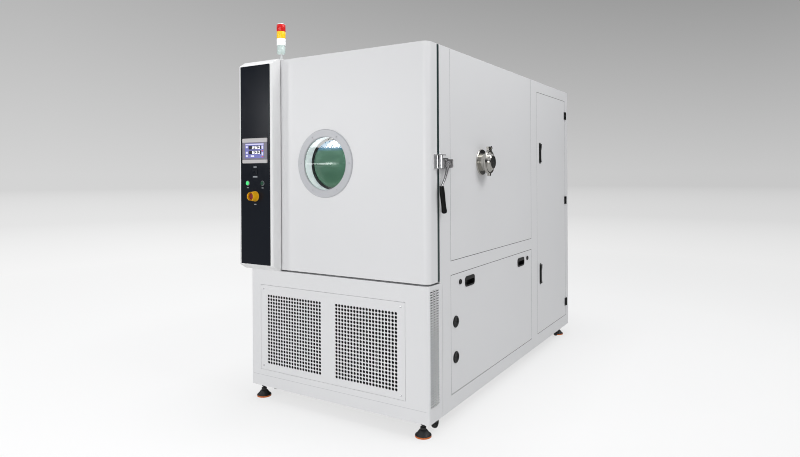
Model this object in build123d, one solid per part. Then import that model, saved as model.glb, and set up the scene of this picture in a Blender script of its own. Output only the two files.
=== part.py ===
from build123d import *
import os
from math import cos, sin, radians

# Environmental test chamber: insulated workroom with a full-width door, control console on the door,
# refrigeration set in the base and a machine room with an electrical cabinet behind the workroom.
# Working axes: X to the right from mid-width, Y back from the door's face, Z up from the floor.
# Sizes are millimetres.

# Cabinet
WIDTH = 1270.0
DEPTH = 2500.0
BODY_HEIGHT = 2000.0
GROUND_GAP = 80.0
SHEET = 2.0
BASE_HEIGHT = 720.0
PANEL_GAP = 3.0
FOLD = 25.0
TAB_PLACE = 120.0
TAB_WIDTH = 40.0
TAB_REACH = 10.0

# Insulated box and workroom
BOX_BACK = 1565.0
ROOM_WIDTH = 1000.0
ROOM_HEIGHT = 1000.0
ROOM_FLOOR = 950.0
ROOM_BACK = 1420.0
LINER = 2.0
DOOR_FRAME_DEPTH = 27.0

# Side panels, measured back from the door's face and up from the floor
SIDE_PANEL_FRONT = 250.0
LOWER_PANEL_BOTTOM = 163.0
LOWER_PANEL_TOP = 824.0
UPPER_PANEL_BOTTOM = 904.0
CABLE_DOOR_OFFSET = 132.0
CABLE_DOOR_REAR = 77.0
CABLE_DOOR_RISE = 88.0
CABLE_DOOR_DROP = 80.0

# Main door
DOOR_THICKNESS = 97.0
DOOR_RAISE = 10.0
DOOR_CORNER = 36.0
GASKET_DEPTH = 24.7
GASKET_WIDTH = 60.0
GASKET_INSET = 1.5
SEAT_GAP = 0.3
PLUG_DEPTH = 42.0
PLUG_CLEARANCE = 10.0
PAN_INSET = 20.0
HINGE_OUT = 20.0
HINGE_BACK = 110.0
HINGE_HEIGHTS = (960.0, 1449.0, 1930.0)
HINGE_BARREL = 12.0
HINGE_PIN = 6.0
PIN_CLEARANCE = 0.05
HINGE_SEGMENT = 34.0
HINGE_PLATE = 8.0

# Viewing window
WINDOW_X = -45.0
WINDOW_Z = 1449.0
WINDOW_RADIUS = 153.0
WINDOW_FLANGE = 198.0
WINDOW_FLANGE_THICK = 9.0
WINDOW_SLEEVE = 3.0
OUTER_PANE_Y = 72.0
PANE_THICK = 8.0
PANE_REBATE = 14.0
WINDOW_SCREWS = 6

# Console on the door
CONSOLE_WIDTH = 280.0
CONSOLE_PLACE = 258.0
CONSOLE_OUT = 82.0
CONSOLE_BELOW = 4.0
CONSOLE_ABOVE = 3.0
CONSOLE_CHAMFER_DEPTH = 54.0
CONSOLE_CHAMFER_HEIGHT = 34.0
CONSOLE_EDGE = 14.0
CONSOLE_SHEET = 3.0
FASCIA_WIDTH = 240.0
FASCIA_RISE = 37.0
FASCIA_DROP = 35.0
FASCIA_THICK = 3.0
FASCIA_PLACE = 142.0

# Parts on the console
SCREEN_Z = 1531.5
BEZEL_WIDTH = 205.0
BEZEL_HEIGHT = 151.0
BEZEL_OUT = 6.0
SCREEN_WIDTH = 156.0
SCREEN_HEIGHT = 90.0
TERMINAL_WIDTH = 190.0
TERMINAL_HEIGHT = 136.0
TERMINAL_DEPTH = 38.0
PORT_Z = 1403.0
PORT_WIDTH = 36.0
PORT_HEIGHT = 30.0
BUTTON_SPACING = 122.0
BUTTON_Z = 1335.0
BUTTON_RING = 15.5
BUTTON_CAP = 12.0
BUTTON_OUT = 7.0
BUTTON_TRAVEL = 3.0
BUTTON_BODY = 11.0
BUTTON_STEM = 5.0
BUTTON_DEPTH = 44.0
STOP_Z = 1256.0
STOP_GUARD = 29.0
STOP_GUARD_OUT = 44.0
STOP_RISE = 37.0
STOP_NOTCH = 24.0
STOP_HEAD = 20.0
STOP_TRAVEL = 5.0

# Tower light on the door
TOWER_INSET = 45.0
TOWER_Y = 48.0
TOWER_RADIUS = 35.0
TOWER_FOOT = 20.0
TOWER_POLE = 9.5
TOWER_POLE_HEIGHT = 24.0
TOWER_BODY = 56.0
TOWER_LENS = 43.0
TOWER_CAP = 7.0

# Door latch
KEEPER_Z = 1451.0
KEEPER_HEIGHT = 78.0
KEEPER_FRONT = 55.0
KEEPER_BACK = 147.0
KEEPER_OUT = 26.0
KEEPER_PLATE = 5.0
ROLLER_RADIUS = 8.0
ROLLER_Y = 118.0
LATCH_PIVOT_Y = 172.0
LATCH_PIVOT_Z = 1442.0
LATCH_PIVOT_OUT = 24.0
LATCH_PIN = 5.0
LEVER_BOSS = 15.0
LEVER_BOSS_LENGTH = 26.0
LATCH_BODY_BACK = 252.0
LATCH_BODY_FRONT = 150.0
GRIP_RADIUS = 15.0
GRIP_BOTTOM_Y = 132.0
GRIP_BOTTOM_Z = 1175.0
GRIP_TOP_Y = 100.0
GRIP_TOP_Z = 1322.0
TANG_RADIUS = 5.0
TANG_LENGTH = 12.0

# Test port in the right wall
TESTPORT_Y = 674.0
TESTPORT_Z = 1456.0
TESTPORT_BORE = 50.0
TESTPORT_WALL = 2.0
TESTPORT_FLANGE = 80.0
TESTPORT_OUT = 50.0
CLAMP_RADIUS = 74.0
CLAMP_WIDTH = 18.0
CAP_OUT = 78.0
WING_BOLT = 5.0
BOLT_RISE = 12.0
LUG_RISE = 20.0
LUG_HALF = 22.0
WING_REACH = 13.0

# Base front
BASE_SIDE_DEPTH = 147.0
BASE_CORNER = 12.0
GRILLE_X = -33.0
GRILLE_WIDTH = 1046.0
GRILLE_BOTTOM = 182.0
GRILLE_TOP = 706.0
GRILLE_FOLD = 14.0
GRILLE_LIP = 12.0
VENT_FRONT = 14.0
VENT_WIDTH = 94.0
VENT_BOTTOM = 166.0
VENT_PITCH = 13.6
VENT_SLOT = 6.5
VENT_ROWS = 45

# Louvres of the rear panel
LOUVRE_X = 290.0
LOUVRE_WIDTH = 380.0
LOUVRE_BOTTOM = 330.0
LOUVRE_ROWS = 9
LOUVRE_PITCH = 36.0
LOUVRE_SLOT = 12.0

# Right-hand access panel fittings
PULL_PLACES = (496.0, 1344.0)
PULL_Z = 760.0
PULL_WIDTH = 130.0
PULL_HEIGHT = 60.0
PULL_RIM = 6.0
PULL_CORNER = 20.0
LOCK_PLACES = (367.0, 1472.0)
LOCK_Z = 772.0
LOCK_RADIUS = 15.0
LOCK_BARREL = 9.0
GROMMET_Y = 308.0
GROMMET_HEIGHTS = (557.0, 358.0)
GROMMET_RADIUS = 33.0

# Electrical door fittings
HANDLE_INSET = 71.0
HANDLE_HEIGHTS = (1539.0, 614.0)
HANDLE_LENGTH = 140.0
HANDLE_WIDTH = 26.0
HANDLE_DISH = 2.5
HANDLE_BOSS = 4.5
HANDLE_PIN = 2.0
HANDLE_EAR = 3.7
HANDLE_BAR = 5.0
HANDLE_LIP = 9.0
SIDE_HINGE_OFFSET = 5.0
SIDE_HINGE_OUT = 7.0
SIDE_HINGE_HEIGHTS = (1875.0, 1152.0, 281.0)
SIDE_HINGE_BARREL = 6.0
SIDE_HINGE_PIN = 3.0
SIDE_HINGE_SEGMENT = 21.0
SIDE_HINGE_LEAF = 28.0
SIDE_HINGE_PLATE = 3.0

# Electrical cabinet
CABINET_DEPTH = 20.0
PLATE_INSET = 205.0
PLATE_THICK = 3.0
PLATE_MARGIN = 20.0
PLATE_RISE = 90.0
PLATE_DROP = 30.0

# Frame, feet and castors
TUBE = 50.0
TUBE_WALL = 3.0
DECK = 3.0
DECK_OFFSET = 420.0
UPPER_RAIL_INSET = 26.0
POST_FRONT = 44.0
FOOT_INSET = 62.0
FOOT_FRONT = 42.0
FOOT_REAR = 100.0
FOOT_PAD = 44.0
CASTOR_INSET = 55.0
CASTOR_FRONT = 140.0
CASTOR_REAR = 200.0
CASTOR_WHEEL = 27.0
CASTOR_WHEEL_WIDTH = 24.0
CASTOR_LIFT = 4.0
CASTOR_TRAIL = 20.0
CASTOR_AXLE = 5.0

# Air circulation in the workroom
BAFFLE_Y = 1130.0
FAN_Z = 1500.0
FAN_RADIUS = 190.0
FAN_EYE = 120.0
FAN_DEPTH = 95.0
FAN_BLADES = 10
FAN_SHAFT = 14.0
MOTOR_RADIUS = 105.0
MOTOR_LENGTH = 250.0
SHELF_HEIGHTS = (1150.0, 1500.0)
SHELF_BARS = 16
SHELF_ROD = 4.0

# Rows of devices in the electrical cabinet
DEVICE_ROWS = 6

# Refrigeration
COMPRESSOR_PLACES = ((300.0, 760.0), (300.0, 1180.0))
COMPRESSOR_RADIUS = 105.0
COMPRESSOR_HEIGHT = 430.0
CONDENSER_FRONT = 40.0
CONDENSER_DEPTH = 66.0
CONDENSER_FAN_X = (-298.0, 225.0)
CONDENSER_FAN_Z = 440.0
CONDENSER_FAN_RADIUS = 200.0
CONDENSER_BLADES = 5
CONDENSER_INLET_X = -36.0
RECEIVER_PLACE = (-330.0, 820.0)
RECEIVER_RADIUS = 76.0
RECEIVER_HEIGHT = 360.0
PIPE_RADIUS = 10.0
PIPE_RISE = 60.0

# Worked-out places
RIGHT = WIDTH / 2
LEFT = -WIDTH / 2
BOTTOM = GROUND_GAP
TOP = GROUND_GAP + BODY_HEIGHT
BASE_TOP = BOTTOM + BASE_HEIGHT
DOOR_BOTTOM = BASE_TOP + DOOR_RAISE
FRAME_FRONT = DOOR_THICKNESS + GASKET_DEPTH + SEAT_GAP
FRAME_BACK = FRAME_FRONT + DOOR_FRAME_DEPTH
ROOM_TOP = ROOM_FLOOR + ROOM_HEIGHT
ROOM_HALF = ROOM_WIDTH / 2
FRAME_HALF = RIGHT - 2 * SHEET
HINGE_X = LEFT - HINGE_OUT
FOOT_X = RIGHT - FOOT_INSET
FOOT_PLACES = (FOOT_FRONT, DEPTH - FOOT_REAR)
DECK_FRONT = FOOT_FRONT + DECK_OFFSET
CASTOR_X = RIGHT - CASTOR_INSET
CASTOR_PLACES = (CASTOR_FRONT, DEPTH - CASTOR_REAR)
CABLE_DOOR_FRONT = BOX_BACK + CABLE_DOOR_OFFSET
CABLE_DOOR_BACK = DEPTH - CABLE_DOOR_REAR
CABLE_DOOR_BOTTOM = BOTTOM + CABLE_DOOR_RISE
CABLE_DOOR_TOP = TOP - CABLE_DOOR_DROP
HANDLE_Y = CABLE_DOOR_FRONT + HANDLE_INSET
SIDE_HINGE_Y = CABLE_DOOR_BACK + SIDE_HINGE_OFFSET
CONSOLE_RIGHT = LEFT + CONSOLE_PLACE
CONSOLE_LEFT = CONSOLE_RIGHT - CONSOLE_WIDTH
CONSOLE_BOTTOM = DOOR_BOTTOM - CONSOLE_BELOW
CONSOLE_TOP = TOP + CONSOLE_ABOVE
FASCIA_X = CONSOLE_LEFT + FASCIA_PLACE
FASCIA_BOTTOM = CONSOLE_BOTTOM + FASCIA_RISE
FASCIA_TOP = CONSOLE_TOP - FASCIA_DROP
TOWER_X = CONSOLE_RIGHT - TOWER_INSET
FASCIA_FACE = -CONSOLE_OUT - FASCIA_THICK
PLUG_HALF = ROOM_HALF - PLUG_CLEARANCE
PLUG_FACE = FRAME_FRONT + PLUG_DEPTH
INNER_PANE_Y = PLUG_FACE - PANE_THICK - 6
PLATE_X = RIGHT - PLATE_INSET
CABINET_BACK = PLATE_X - CABINET_DEPTH
STOP_FACE = FASCIA_FACE - STOP_GUARD_OUT
REACH_RIGHT = RIGHT + CAP_OUT
REACH_LEFT = HINGE_X - HINGE_BARREL
REACH_FRONT = STOP_FACE
REACH_BACK = DEPTH
SHIFT = Vector(-(REACH_RIGHT + REACH_LEFT) / 2, -(REACH_FRONT + REACH_BACK) / 2, 0)


# Shapes used by several pieces
def block(x0, x1, y0, y1, z0, z1):
    """Box between two corners."""
    size = (x1 - x0, y1 - y0, z1 - z0)
    return Pos((x0 + x1) / 2, (y0 + y1) / 2, (z0 + z1) / 2) * Box(*size)


def frame_plane(x, y, z, direction):
    """Plane at a point whose normal looks along one of the axes."""
    sides = {"x": (0, 1, 0), "-x": (0, -1, 0), "y": (1, 0, 0), "-y": (1, 0, 0), "z": (1, 0, 0), "-z": (1, 0, 0)}
    normals = {"x": (1, 0, 0), "-x": (-1, 0, 0), "y": (0, 1, 0), "-y": (0, -1, 0), "z": (0, 0, 1), "-z": (0, 0, -1)}
    return Plane(origin=(x, y, z), x_dir=sides[direction], z_dir=normals[direction])


def rod(x, y, z, direction, radius, length):
    """Cylinder that starts at a point and runs along one of the axes."""
    return extrude(frame_plane(x, y, z, direction) * Circle(radius), length)


def pipe(x, y, z, direction, outer, inner, length):
    """Tube that starts at a point and runs along one of the axes."""
    return rod(x, y, z, direction, outer, length) - rod(x, y, z, direction, inner, length)


def spin(points, x, y, z, direction):
    """Solid of revolution: points are (radius, height along the direction)."""
    plane = frame_plane(x, y, z, direction)
    profile = Plane(origin=plane.origin, x_dir=plane.x_dir, z_dir=-plane.y_dir)
    face = make_face(profile * Polyline(*points, close=True))
    return revolve(face, Axis(plane.origin, plane.z_dir))


def solids_of(*shapes):
    """Separate solids in one compound."""
    found = []
    for shape in shapes:
        found += shape.solids()
    return Compound(children=found)


def tray(x0, x1, z0, z1, outside, thickness, fold, side):
    """Folded side panel: a flat sheet whose four edges turn inwards."""
    inner = outside - side * fold
    low, high = min(outside, inner), max(outside, inner)
    body = block(low, high, x0, x1, z0, z1)
    low, high = min(inner, outside - side * thickness), max(inner, outside - side * thickness)
    return body - block(low, high, x0 + thickness, x1 - thickness, z0 + thickness, z1 - thickness)


def tube_bar(start, end, size=TUBE, wall=TUBE_WALL):
    """Square tube between two corner points that differ by the tube's size in two axes."""
    lengths = [end[i] - start[i] for i in range(3)]
    along = lengths.index(max(lengths))
    low, high = list(start), list(end)
    for i in range(3):
        if i != along:
            low[i] += wall
            high[i] -= wall
    outer = block(start[0], end[0], start[1], end[1], start[2], end[2])
    return outer - block(low[0], high[0], low[1], high[1], low[2], high[2])


# Frame, feet and castors
def base_frame():
    """Welded square-tube frame with the deck plate for the compressors."""
    half = FRAME_HALF
    back = DEPTH - SHEET
    front = SHEET + 1 + FOLD
    bars = []
    for side in (-1, 1):
        x0, x1 = sorted((side * half, side * (half - TUBE)))
        u0, u1 = sorted((side * (half - UPPER_RAIL_INSET), side * (half - UPPER_RAIL_INSET - TUBE)))
        bars.append(tube_bar((x0, front, BOTTOM), (x1, back, BOTTOM + TUBE)))
        bars.append(tube_bar((u0, front, BASE_TOP - TUBE), (u1, BOX_BACK, BASE_TOP)))
        bars.append(tube_bar((x0, BOX_BACK, TOP - SHEET - TUBE), (x1, back, TOP - SHEET)))
        bars.append(tube_bar((x0, POST_FRONT, BOTTOM + TUBE), (x1, POST_FRONT + TUBE, BASE_TOP - TUBE)))
        bars.append(tube_bar((x0, BOX_BACK, BOTTOM + TUBE), (x1, BOX_BACK + TUBE, TOP - SHEET - TUBE)))
        bars.append(tube_bar((x0, back - TUBE, BOTTOM + TUBE), (x1, back, TOP - SHEET - TUBE)))
    inner = half - TUBE
    for y in (front, DECK_FRONT, BOX_BACK, FOOT_PLACES[1] - TUBE / 2, back - TUBE):
        bars.append(tube_bar((-inner, y, BOTTOM), (inner, y + TUBE, BOTTOM + TUBE)))
    for y in (front, BOX_BACK - TUBE):
        reach = inner - UPPER_RAIL_INSET
        bars.append(tube_bar((-reach, y, BASE_TOP - TUBE), (reach, y + TUBE, BASE_TOP)))
    for y in (BOX_BACK, back - TUBE):
        bars.append(tube_bar((-inner, y, TOP - SHEET - TUBE), (inner, y + TUBE, TOP - SHEET)))
    deck = block(-inner, inner, DECK_FRONT, BOX_BACK, BOTTOM + TUBE, BOTTOM + TUBE + DECK)
    return solids_of(*bars, deck)


def levelling_feet():
    pad = FOOT_PAD
    profile = [(0, 0), (pad, 0), (pad, 9), (pad - 2, 12), (pad - 5, 12), (22, 34), (16, 38), (16, 50), (8, 50)]
    profile += [(8, 62), (14, 62), (14, 73), (8, 73), (8, BOTTOM), (0, BOTTOM)]
    return solids_of(*[spin(profile, x, y, 0, "z") for x in (-FOOT_X, FOOT_X) for y in FOOT_PLACES])


def castor_axle_place(place):
    """Axle's height above the floor and its place behind the swivel."""
    return place + CASTOR_TRAIL, CASTOR_LIFT + CASTOR_WHEEL


def castor_fork(x, y, top):
    """Pressed fork: crown and two tapering legs that hold the axle."""
    axle_y, axle_z = castor_axle_place(y)
    width = CASTOR_WHEEL_WIDTH / 2 + 1.5
    leg_plane = Plane(origin=(x, 0, 0), x_dir=(0, 1, 0), z_dir=(1, 0, 0))
    outline = Sketch() + [Pos(axle_y, axle_z) * Circle(9), Pos(y, top - 3) * Rectangle(40, 6)]
    side = leg_plane * make_hull(outline.edges())
    legs = extrude(side, width + 3, both=True) - block(x - width, x + width, y - 60, y + 60, 0, top - 3)
    crown = legs + rod(x, y, top - 3, "z", 20, 3)
    axle = rod(x - width - 6, axle_y, axle_z, "x", CASTOR_AXLE, 2 * width + 12)
    return crown + axle


def castor_mounts():
    """Four plates; the rear pair carries fixed forks."""
    plates = []
    for x in (-CASTOR_X, CASTOR_X):
        front, back = CASTOR_PLACES
        plates.append(block(x - 32, x + 32, front - 32, front + 32, BOTTOM - 4, BOTTOM)
                      + rod(x, front, BOTTOM - 7, "z", 18, 4))
        plates.append(block(x - 32, x + 32, back - 32, back + 32, BOTTOM - 4, BOTTOM)
                      + castor_fork(x, back, BOTTOM - 4))
    return solids_of(*plates)


def castor_swivel(x):
    return castor_fork(x, CASTOR_PLACES[0], BOTTOM - 7 - SEAT_GAP)


def castor_wheel(x, place):
    axle_y, axle_z = castor_axle_place(place)
    half = CASTOR_WHEEL_WIDTH / 2
    radius = CASTOR_WHEEL
    bore = CASTOR_AXLE + PIN_CLEARANCE
    profile = [(bore, -half), (9, -half), (9, -half + 4), (radius - 7, -half + 4), (radius - 5, -half + 1)]
    profile += [(radius - 2, -half + 2), (radius, -half + 6), (radius, half - 6), (radius - 2, half - 2)]
    profile += [(radius - 5, half - 1), (radius - 7, half - 4), (9, half - 4), (9, half), (bore, half)]
    return spin(profile, x, axle_y, axle_z, "x")


# Base casing
def vent_slots():
    """Slot cutters for both sides of the base front."""
    cutters = []
    for row in range(VENT_ROWS):
        z0 = VENT_BOTTOM + row * VENT_PITCH
        for x0, x1 in ((LEFT - 1, LEFT + SHEET + 1), (RIGHT - SHEET - 1, RIGHT + 1)):
            cutters.append(block(x0, x1, VENT_FRONT, VENT_FRONT + VENT_WIDTH, z0, z0 + VENT_SLOT))
    return cutters


def base_front_casing():
    """Front of the base: one sheet folded round both corners, with the grille opening and side vents."""
    outer = fillet(block(LEFT, RIGHT, 0, BASE_SIDE_DEPTH, BOTTOM, BASE_TOP).edges().filter_by(Axis.Z)
                   .group_by(Axis.Y)[0], BASE_CORNER)
    inner = fillet(block(LEFT + SHEET, RIGHT - SHEET, SHEET, BASE_SIDE_DEPTH + 1, BOTTOM - 1, BASE_TOP - SHEET)
                   .edges().filter_by(Axis.Z).group_by(Axis.Y)[0], BASE_CORNER - SHEET)
    x0, x1 = GRILLE_X - GRILLE_WIDTH / 2, GRILLE_X + GRILLE_WIDTH / 2
    opening = block(x0, x1, -1, SHEET + 1, GRILLE_BOTTOM, GRILLE_TOP)
    top_cut = block(LEFT + 2 * SHEET, RIGHT - 2 * SHEET, FOLD, BASE_SIDE_DEPTH + 1, BASE_TOP - SHEET - 1,
                    BASE_TOP + 1)
    lip = block(x0 - SHEET, x1 + SHEET, SHEET, GRILLE_FOLD + SHEET, GRILLE_BOTTOM - SHEET, GRILLE_TOP + SHEET)
    lip -= block(x0, x1, 0, GRILLE_FOLD, GRILLE_BOTTOM, GRILLE_TOP)
    lip -= block(x0 + GRILLE_LIP, x1 - GRILLE_LIP, 0, GRILLE_FOLD + 2 * SHEET, GRILLE_BOTTOM + GRILLE_LIP,
                 GRILLE_TOP - GRILLE_LIP)
    casing = outer - inner - opening - top_cut + lip
    return casing - vent_slots()


def front_grille():
    """Front panel of the base: a plain tray of sheet with its edge folded back on all four sides."""
    gap = PANEL_GAP / 2
    x0, x1 = GRILLE_X - GRILLE_WIDTH / 2 + gap, GRILLE_X + GRILLE_WIDTH / 2 - gap
    z0, z1 = GRILLE_BOTTOM + gap, GRILLE_TOP - gap
    body = block(x0, x1, 0, GRILLE_FOLD, z0, z1)
    body -= block(x0 + SHEET, x1 - SHEET, SHEET, GRILLE_FOLD + 1, z0 + SHEET, z1 - SHEET)
    return body


# Cabinet sheets
def side_openings():
    """Openings in a side: (front, back, bottom, top)."""
    return ((SIDE_PANEL_FRONT, BOX_BACK, LOWER_PANEL_BOTTOM, LOWER_PANEL_TOP),
            (SIDE_PANEL_FRONT, BOX_BACK, UPPER_PANEL_BOTTOM, TOP - SHEET),
            (CABLE_DOOR_FRONT, CABLE_DOOR_BACK, CABLE_DOOR_BOTTOM, CABLE_DOOR_TOP))


def side_skins():
    """Outer sheet of both sides, open where the panels and the electrical door sit."""
    skins = []
    for side in (-1, 1):
        x0, x1 = sorted((side * RIGHT, side * (RIGHT - SHEET)))
        skin = block(x0, x1, FRAME_BACK, DEPTH, BOTTOM, TOP - SHEET)
        for y0, y1, z0, z1 in side_openings():
            skin -= block(x0 - 1, x1 + 1, y0, y1, z0, z1 + (1 if z1 == TOP - SHEET else 0))
        skins.append(skin)
    return solids_of(*skins)


def side_panel(opening, side):
    """Flat panel with four hook tabs that sit behind the sheet round its opening."""
    y0, y1, z0, z1 = opening
    gap = PANEL_GAP / 2
    at_roof = z1 == TOP - SHEET
    x0, x1 = sorted((side * RIGHT, side * (RIGHT - SHEET)))
    b0, b1 = sorted((side * (RIGHT - SHEET), side * FRAME_HALF))
    panel = block(x0, x1, y0 + gap, y1 - gap, z0 + gap, z1 - (0 if at_roof else gap))
    for y in (y0 + TAB_PLACE, y1 - TAB_PLACE - TAB_WIDTH):
        panel += block(b0, b1, y, y + TAB_WIDTH, z0 - TAB_REACH, z0 + TAB_REACH)
        if not at_roof:
            panel += block(b0, b1, y, y + TAB_WIDTH, z1 - TAB_REACH, z1 + TAB_REACH)
    return panel


def side_panels():
    """Panels set in the openings: upper and lower on both sides, rear service panel on the left."""
    lower, upper, rear = side_openings()
    left = [side_panel(opening, -1) for opening in (lower, upper, rear)]
    access, wall = side_panel(lower, 1), side_panel(upper, 1)
    for y in PULL_PLACES:
        w, h = PULL_WIDTH / 2 - PULL_RIM, PULL_HEIGHT / 2 - PULL_RIM
        access -= block(RIGHT - 10, RIGHT + 1, y - w, y + w, PULL_Z - h, PULL_Z + h)
    for y in LOCK_PLACES:
        access -= rod(RIGHT - 10, y, LOCK_Z, "x", LOCK_BARREL + PIN_CLEARANCE, 12)
    for z in GROMMET_HEIGHTS:
        access -= rod(RIGHT - 10, GROMMET_Y, z, "x", GROMMET_RADIUS - 5, 12)
    wall -= rod(RIGHT - 10, TESTPORT_Y, TESTPORT_Z, "x", TESTPORT_BORE + TESTPORT_WALL, 12)
    return solids_of(*left, access, wall)


def flush_pull(y):
    """Recessed moulded pull: rim on the panel and a dished cup behind it."""
    w, h = PULL_WIDTH / 2, PULL_HEIGHT / 2
    rim = fillet(block(RIGHT, RIGHT + 3, y - w, y + w, PULL_Z - h, PULL_Z + h).edges().filter_by(Axis.X),
                 PULL_CORNER)
    cup = fillet(block(RIGHT - 24, RIGHT, y - w + 6.5, y + w - 6.5, PULL_Z - h + 6.5, PULL_Z + h - 6.5)
                 .edges().filter_by(Axis.X), PULL_CORNER - PULL_RIM)
    hollow = fillet(block(RIGHT - 22, RIGHT + 4, y - w + 9, y + w - 9, PULL_Z - h + 9, PULL_Z + h - 9)
                    .edges().filter_by(Axis.X), PULL_CORNER - PULL_RIM - 1)
    lip = block(RIGHT - 2, RIGHT + 3, y - w + 8, y + w - 8, PULL_Z + h - 22, PULL_Z + h - 8)
    return rim + cup - hollow + lip


def grommet(z):
    """Cable pass-through: outer ring with a split rubber disc."""
    r = GROMMET_RADIUS
    profile = [(0, -4), (r - 5.5, -4), (r - 5.5, 0), (r, 0), (r, 3), (r - 3, 6), (r - 9, 6), (r - 12, 2), (0, 2)]
    ring = spin(profile, RIGHT, GROMMET_Y, z, "x")
    return ring - block(RIGHT - 5, RIGHT + 7, GROMMET_Y - r + 14, GROMMET_Y + r - 14, z - 1.5, z + 1.5)


def panel_fittings():
    pieces = [flush_pull(y) for y in PULL_PLACES] + [grommet(z) for z in GROMMET_HEIGHTS]
    return solids_of(*pieces)


def panel_lock(y):
    """Quarter-turn key lock: round head with a key slot, barrel and cam tongue behind the panel."""
    head = spin([(0, 0.3), (LOCK_RADIUS, 0.3), (LOCK_RADIUS, 4), (LOCK_RADIUS - 3, 7), (0, 7)],
                RIGHT, y, LOCK_Z, "x")
    head -= block(RIGHT + 4, RIGHT + 8, y - 1.5, y + 1.5, LOCK_Z - 7, LOCK_Z + 7)
    barrel = rod(RIGHT - 16, y, LOCK_Z, "x", LOCK_BARREL, 17)
    tongue = block(RIGHT - 19, RIGHT - 16, y - 8, y + 8, LOCK_Z - 8, LOCK_Z + 24)
    return head + barrel + tongue


def roof_panel():
    """Flat roof sheet, from the door frame to the rear."""
    return block(LEFT, RIGHT, FRAME_BACK, DEPTH, TOP - SHEET, TOP)


def rear_panel():
    """Rear sheet with two banks of lanced louvres for the machine room."""
    inner = DEPTH - SHEET
    sheet = block(LEFT + SHEET, RIGHT - SHEET, inner, DEPTH, BOTTOM, TOP - SHEET)
    hoods, slots = [], []
    for x in (-LOUVRE_X, LOUVRE_X):
        for row in range(LOUVRE_ROWS):
            z = LOUVRE_BOTTOM + row * LOUVRE_PITCH
            half = LOUVRE_WIDTH / 2
            slots.append(block(x - half, x + half, inner - 1, DEPTH + 1, z, z + LOUVRE_SLOT))
            plane = Plane(origin=(x - half - 3, inner, z + LOUVRE_SLOT + 3), x_dir=(0, -1, 0), z_dir=(1, 0, 0))
            shape = make_face(Polyline((0, 0), (0, -3), (9, 9), (9, 12), close=True))
            hoods.append(extrude(plane * shape, LOUVRE_WIDTH + 6))
    return sheet - slots + hoods


# Insulated box
def door_frame():
    """Thermal-break frame round the workroom's mouth, in four bars."""
    y0, y1 = FRAME_FRONT, FRAME_BACK
    half = ROOM_HALF
    t = SHEET
    bars = []
    for x0, x1, z0, z1 in ((LEFT, -half, BASE_TOP, TOP), (half, RIGHT, BASE_TOP, TOP),
                           (-half, half, BASE_TOP, ROOM_FLOOR), (-half, half, ROOM_TOP, TOP)):
        hollow = block(x0 + t, x1 - t, y0 + t, y1 + 1, z0 + t, z1 - t)
        bars.append(block(x0, x1, y0, y1, z0, z1) - hollow)
    return solids_of(*bars)


def insulation():
    """Foam slabs on all five sides, with the holes for the test port and the fan shaft."""
    half, inner = FRAME_HALF, ROOM_HALF + LINER
    y0, y1 = FRAME_BACK, ROOM_BACK + LINER
    low, high = BASE_TOP, TOP - SHEET
    left = block(-half, -inner, y0, y1, ROOM_FLOOR - LINER, ROOM_TOP + LINER)
    right = block(inner, half, y0, y1, ROOM_FLOOR - LINER, ROOM_TOP + LINER)
    right -= rod(inner - 1, TESTPORT_Y, TESTPORT_Z, "x", TESTPORT_BORE + TESTPORT_WALL, half)
    floor = block(-half, half, y0, y1, low, ROOM_FLOOR - LINER)
    roof = block(-half, half, y0, y1, ROOM_TOP + LINER, high)
    back = block(-half, half, y1, BOX_BACK, low, high)
    back -= rod(0, y1 - 1, FAN_Z, "y", FAN_SHAFT + 12, BOX_BACK)
    return solids_of(left, right, floor, roof, back)


def workroom_liner():
    """Stainless sheets of the workroom: floor, roof, sides and back."""
    half, y0, y1 = ROOM_HALF, FRAME_BACK, ROOM_BACK
    low, high = ROOM_FLOOR, ROOM_TOP
    left = block(-half - LINER, -half, y0, y1, low, high)
    right = block(half, half + LINER, y0, y1, low, high)
    right -= rod(half - 1, TESTPORT_Y, TESTPORT_Z, "x", TESTPORT_BORE + TESTPORT_WALL, LINER + 2)
    floor = block(-half - LINER, half + LINER, y0, y1, low - LINER, low)
    roof = block(-half - LINER, half + LINER, y0, y1, high, high + LINER)
    back = block(-half - LINER, half + LINER, y1, y1 + LINER, low - LINER, high + LINER)
    back -= rod(0, y1 - 1, FAN_Z, "y", FAN_SHAFT + 12, LINER + 2)
    return solids_of(left, right, floor, roof, back)


def air_baffle():
    """Duct plate in front of the fan: bell-mouth inlet, return slot below and supply slot above."""
    slot = 90
    plate = block(-ROOM_HALF, ROOM_HALF, BAFFLE_Y, BAFFLE_Y + SHEET, ROOM_FLOOR + slot, ROOM_TOP - slot)
    plate -= rod(0, BAFFLE_Y - 1, FAN_Z, "y", FAN_EYE + 12, SHEET + 2)
    mouth = spin([(FAN_EYE + 12, 0), (FAN_EYE + 14, 0), (FAN_EYE + 5, 10), (FAN_EYE - 4, 26), (FAN_EYE - 6, 26),
                  (FAN_EYE + 2, 10)], 0, BAFFLE_Y, FAN_Z, "y")
    guard = []
    for ring in (40, 80, FAN_EYE):
        guard.append(pipe(0, BAFFLE_Y - 8, FAN_Z, "y", ring, ring - 3, 4))
    spokes = block(-FAN_EYE - 18, FAN_EYE + 18, BAFFLE_Y - 4, BAFFLE_Y, FAN_Z - 3, FAN_Z + 3)
    spokes += block(-3, 3, BAFFLE_Y - 4, BAFFLE_Y, FAN_Z - FAN_EYE - 18, FAN_Z + FAN_EYE + 18)
    grid = spokes
    for ring in guard:
        grid += ring
    return plate + mouth + grid


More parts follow.
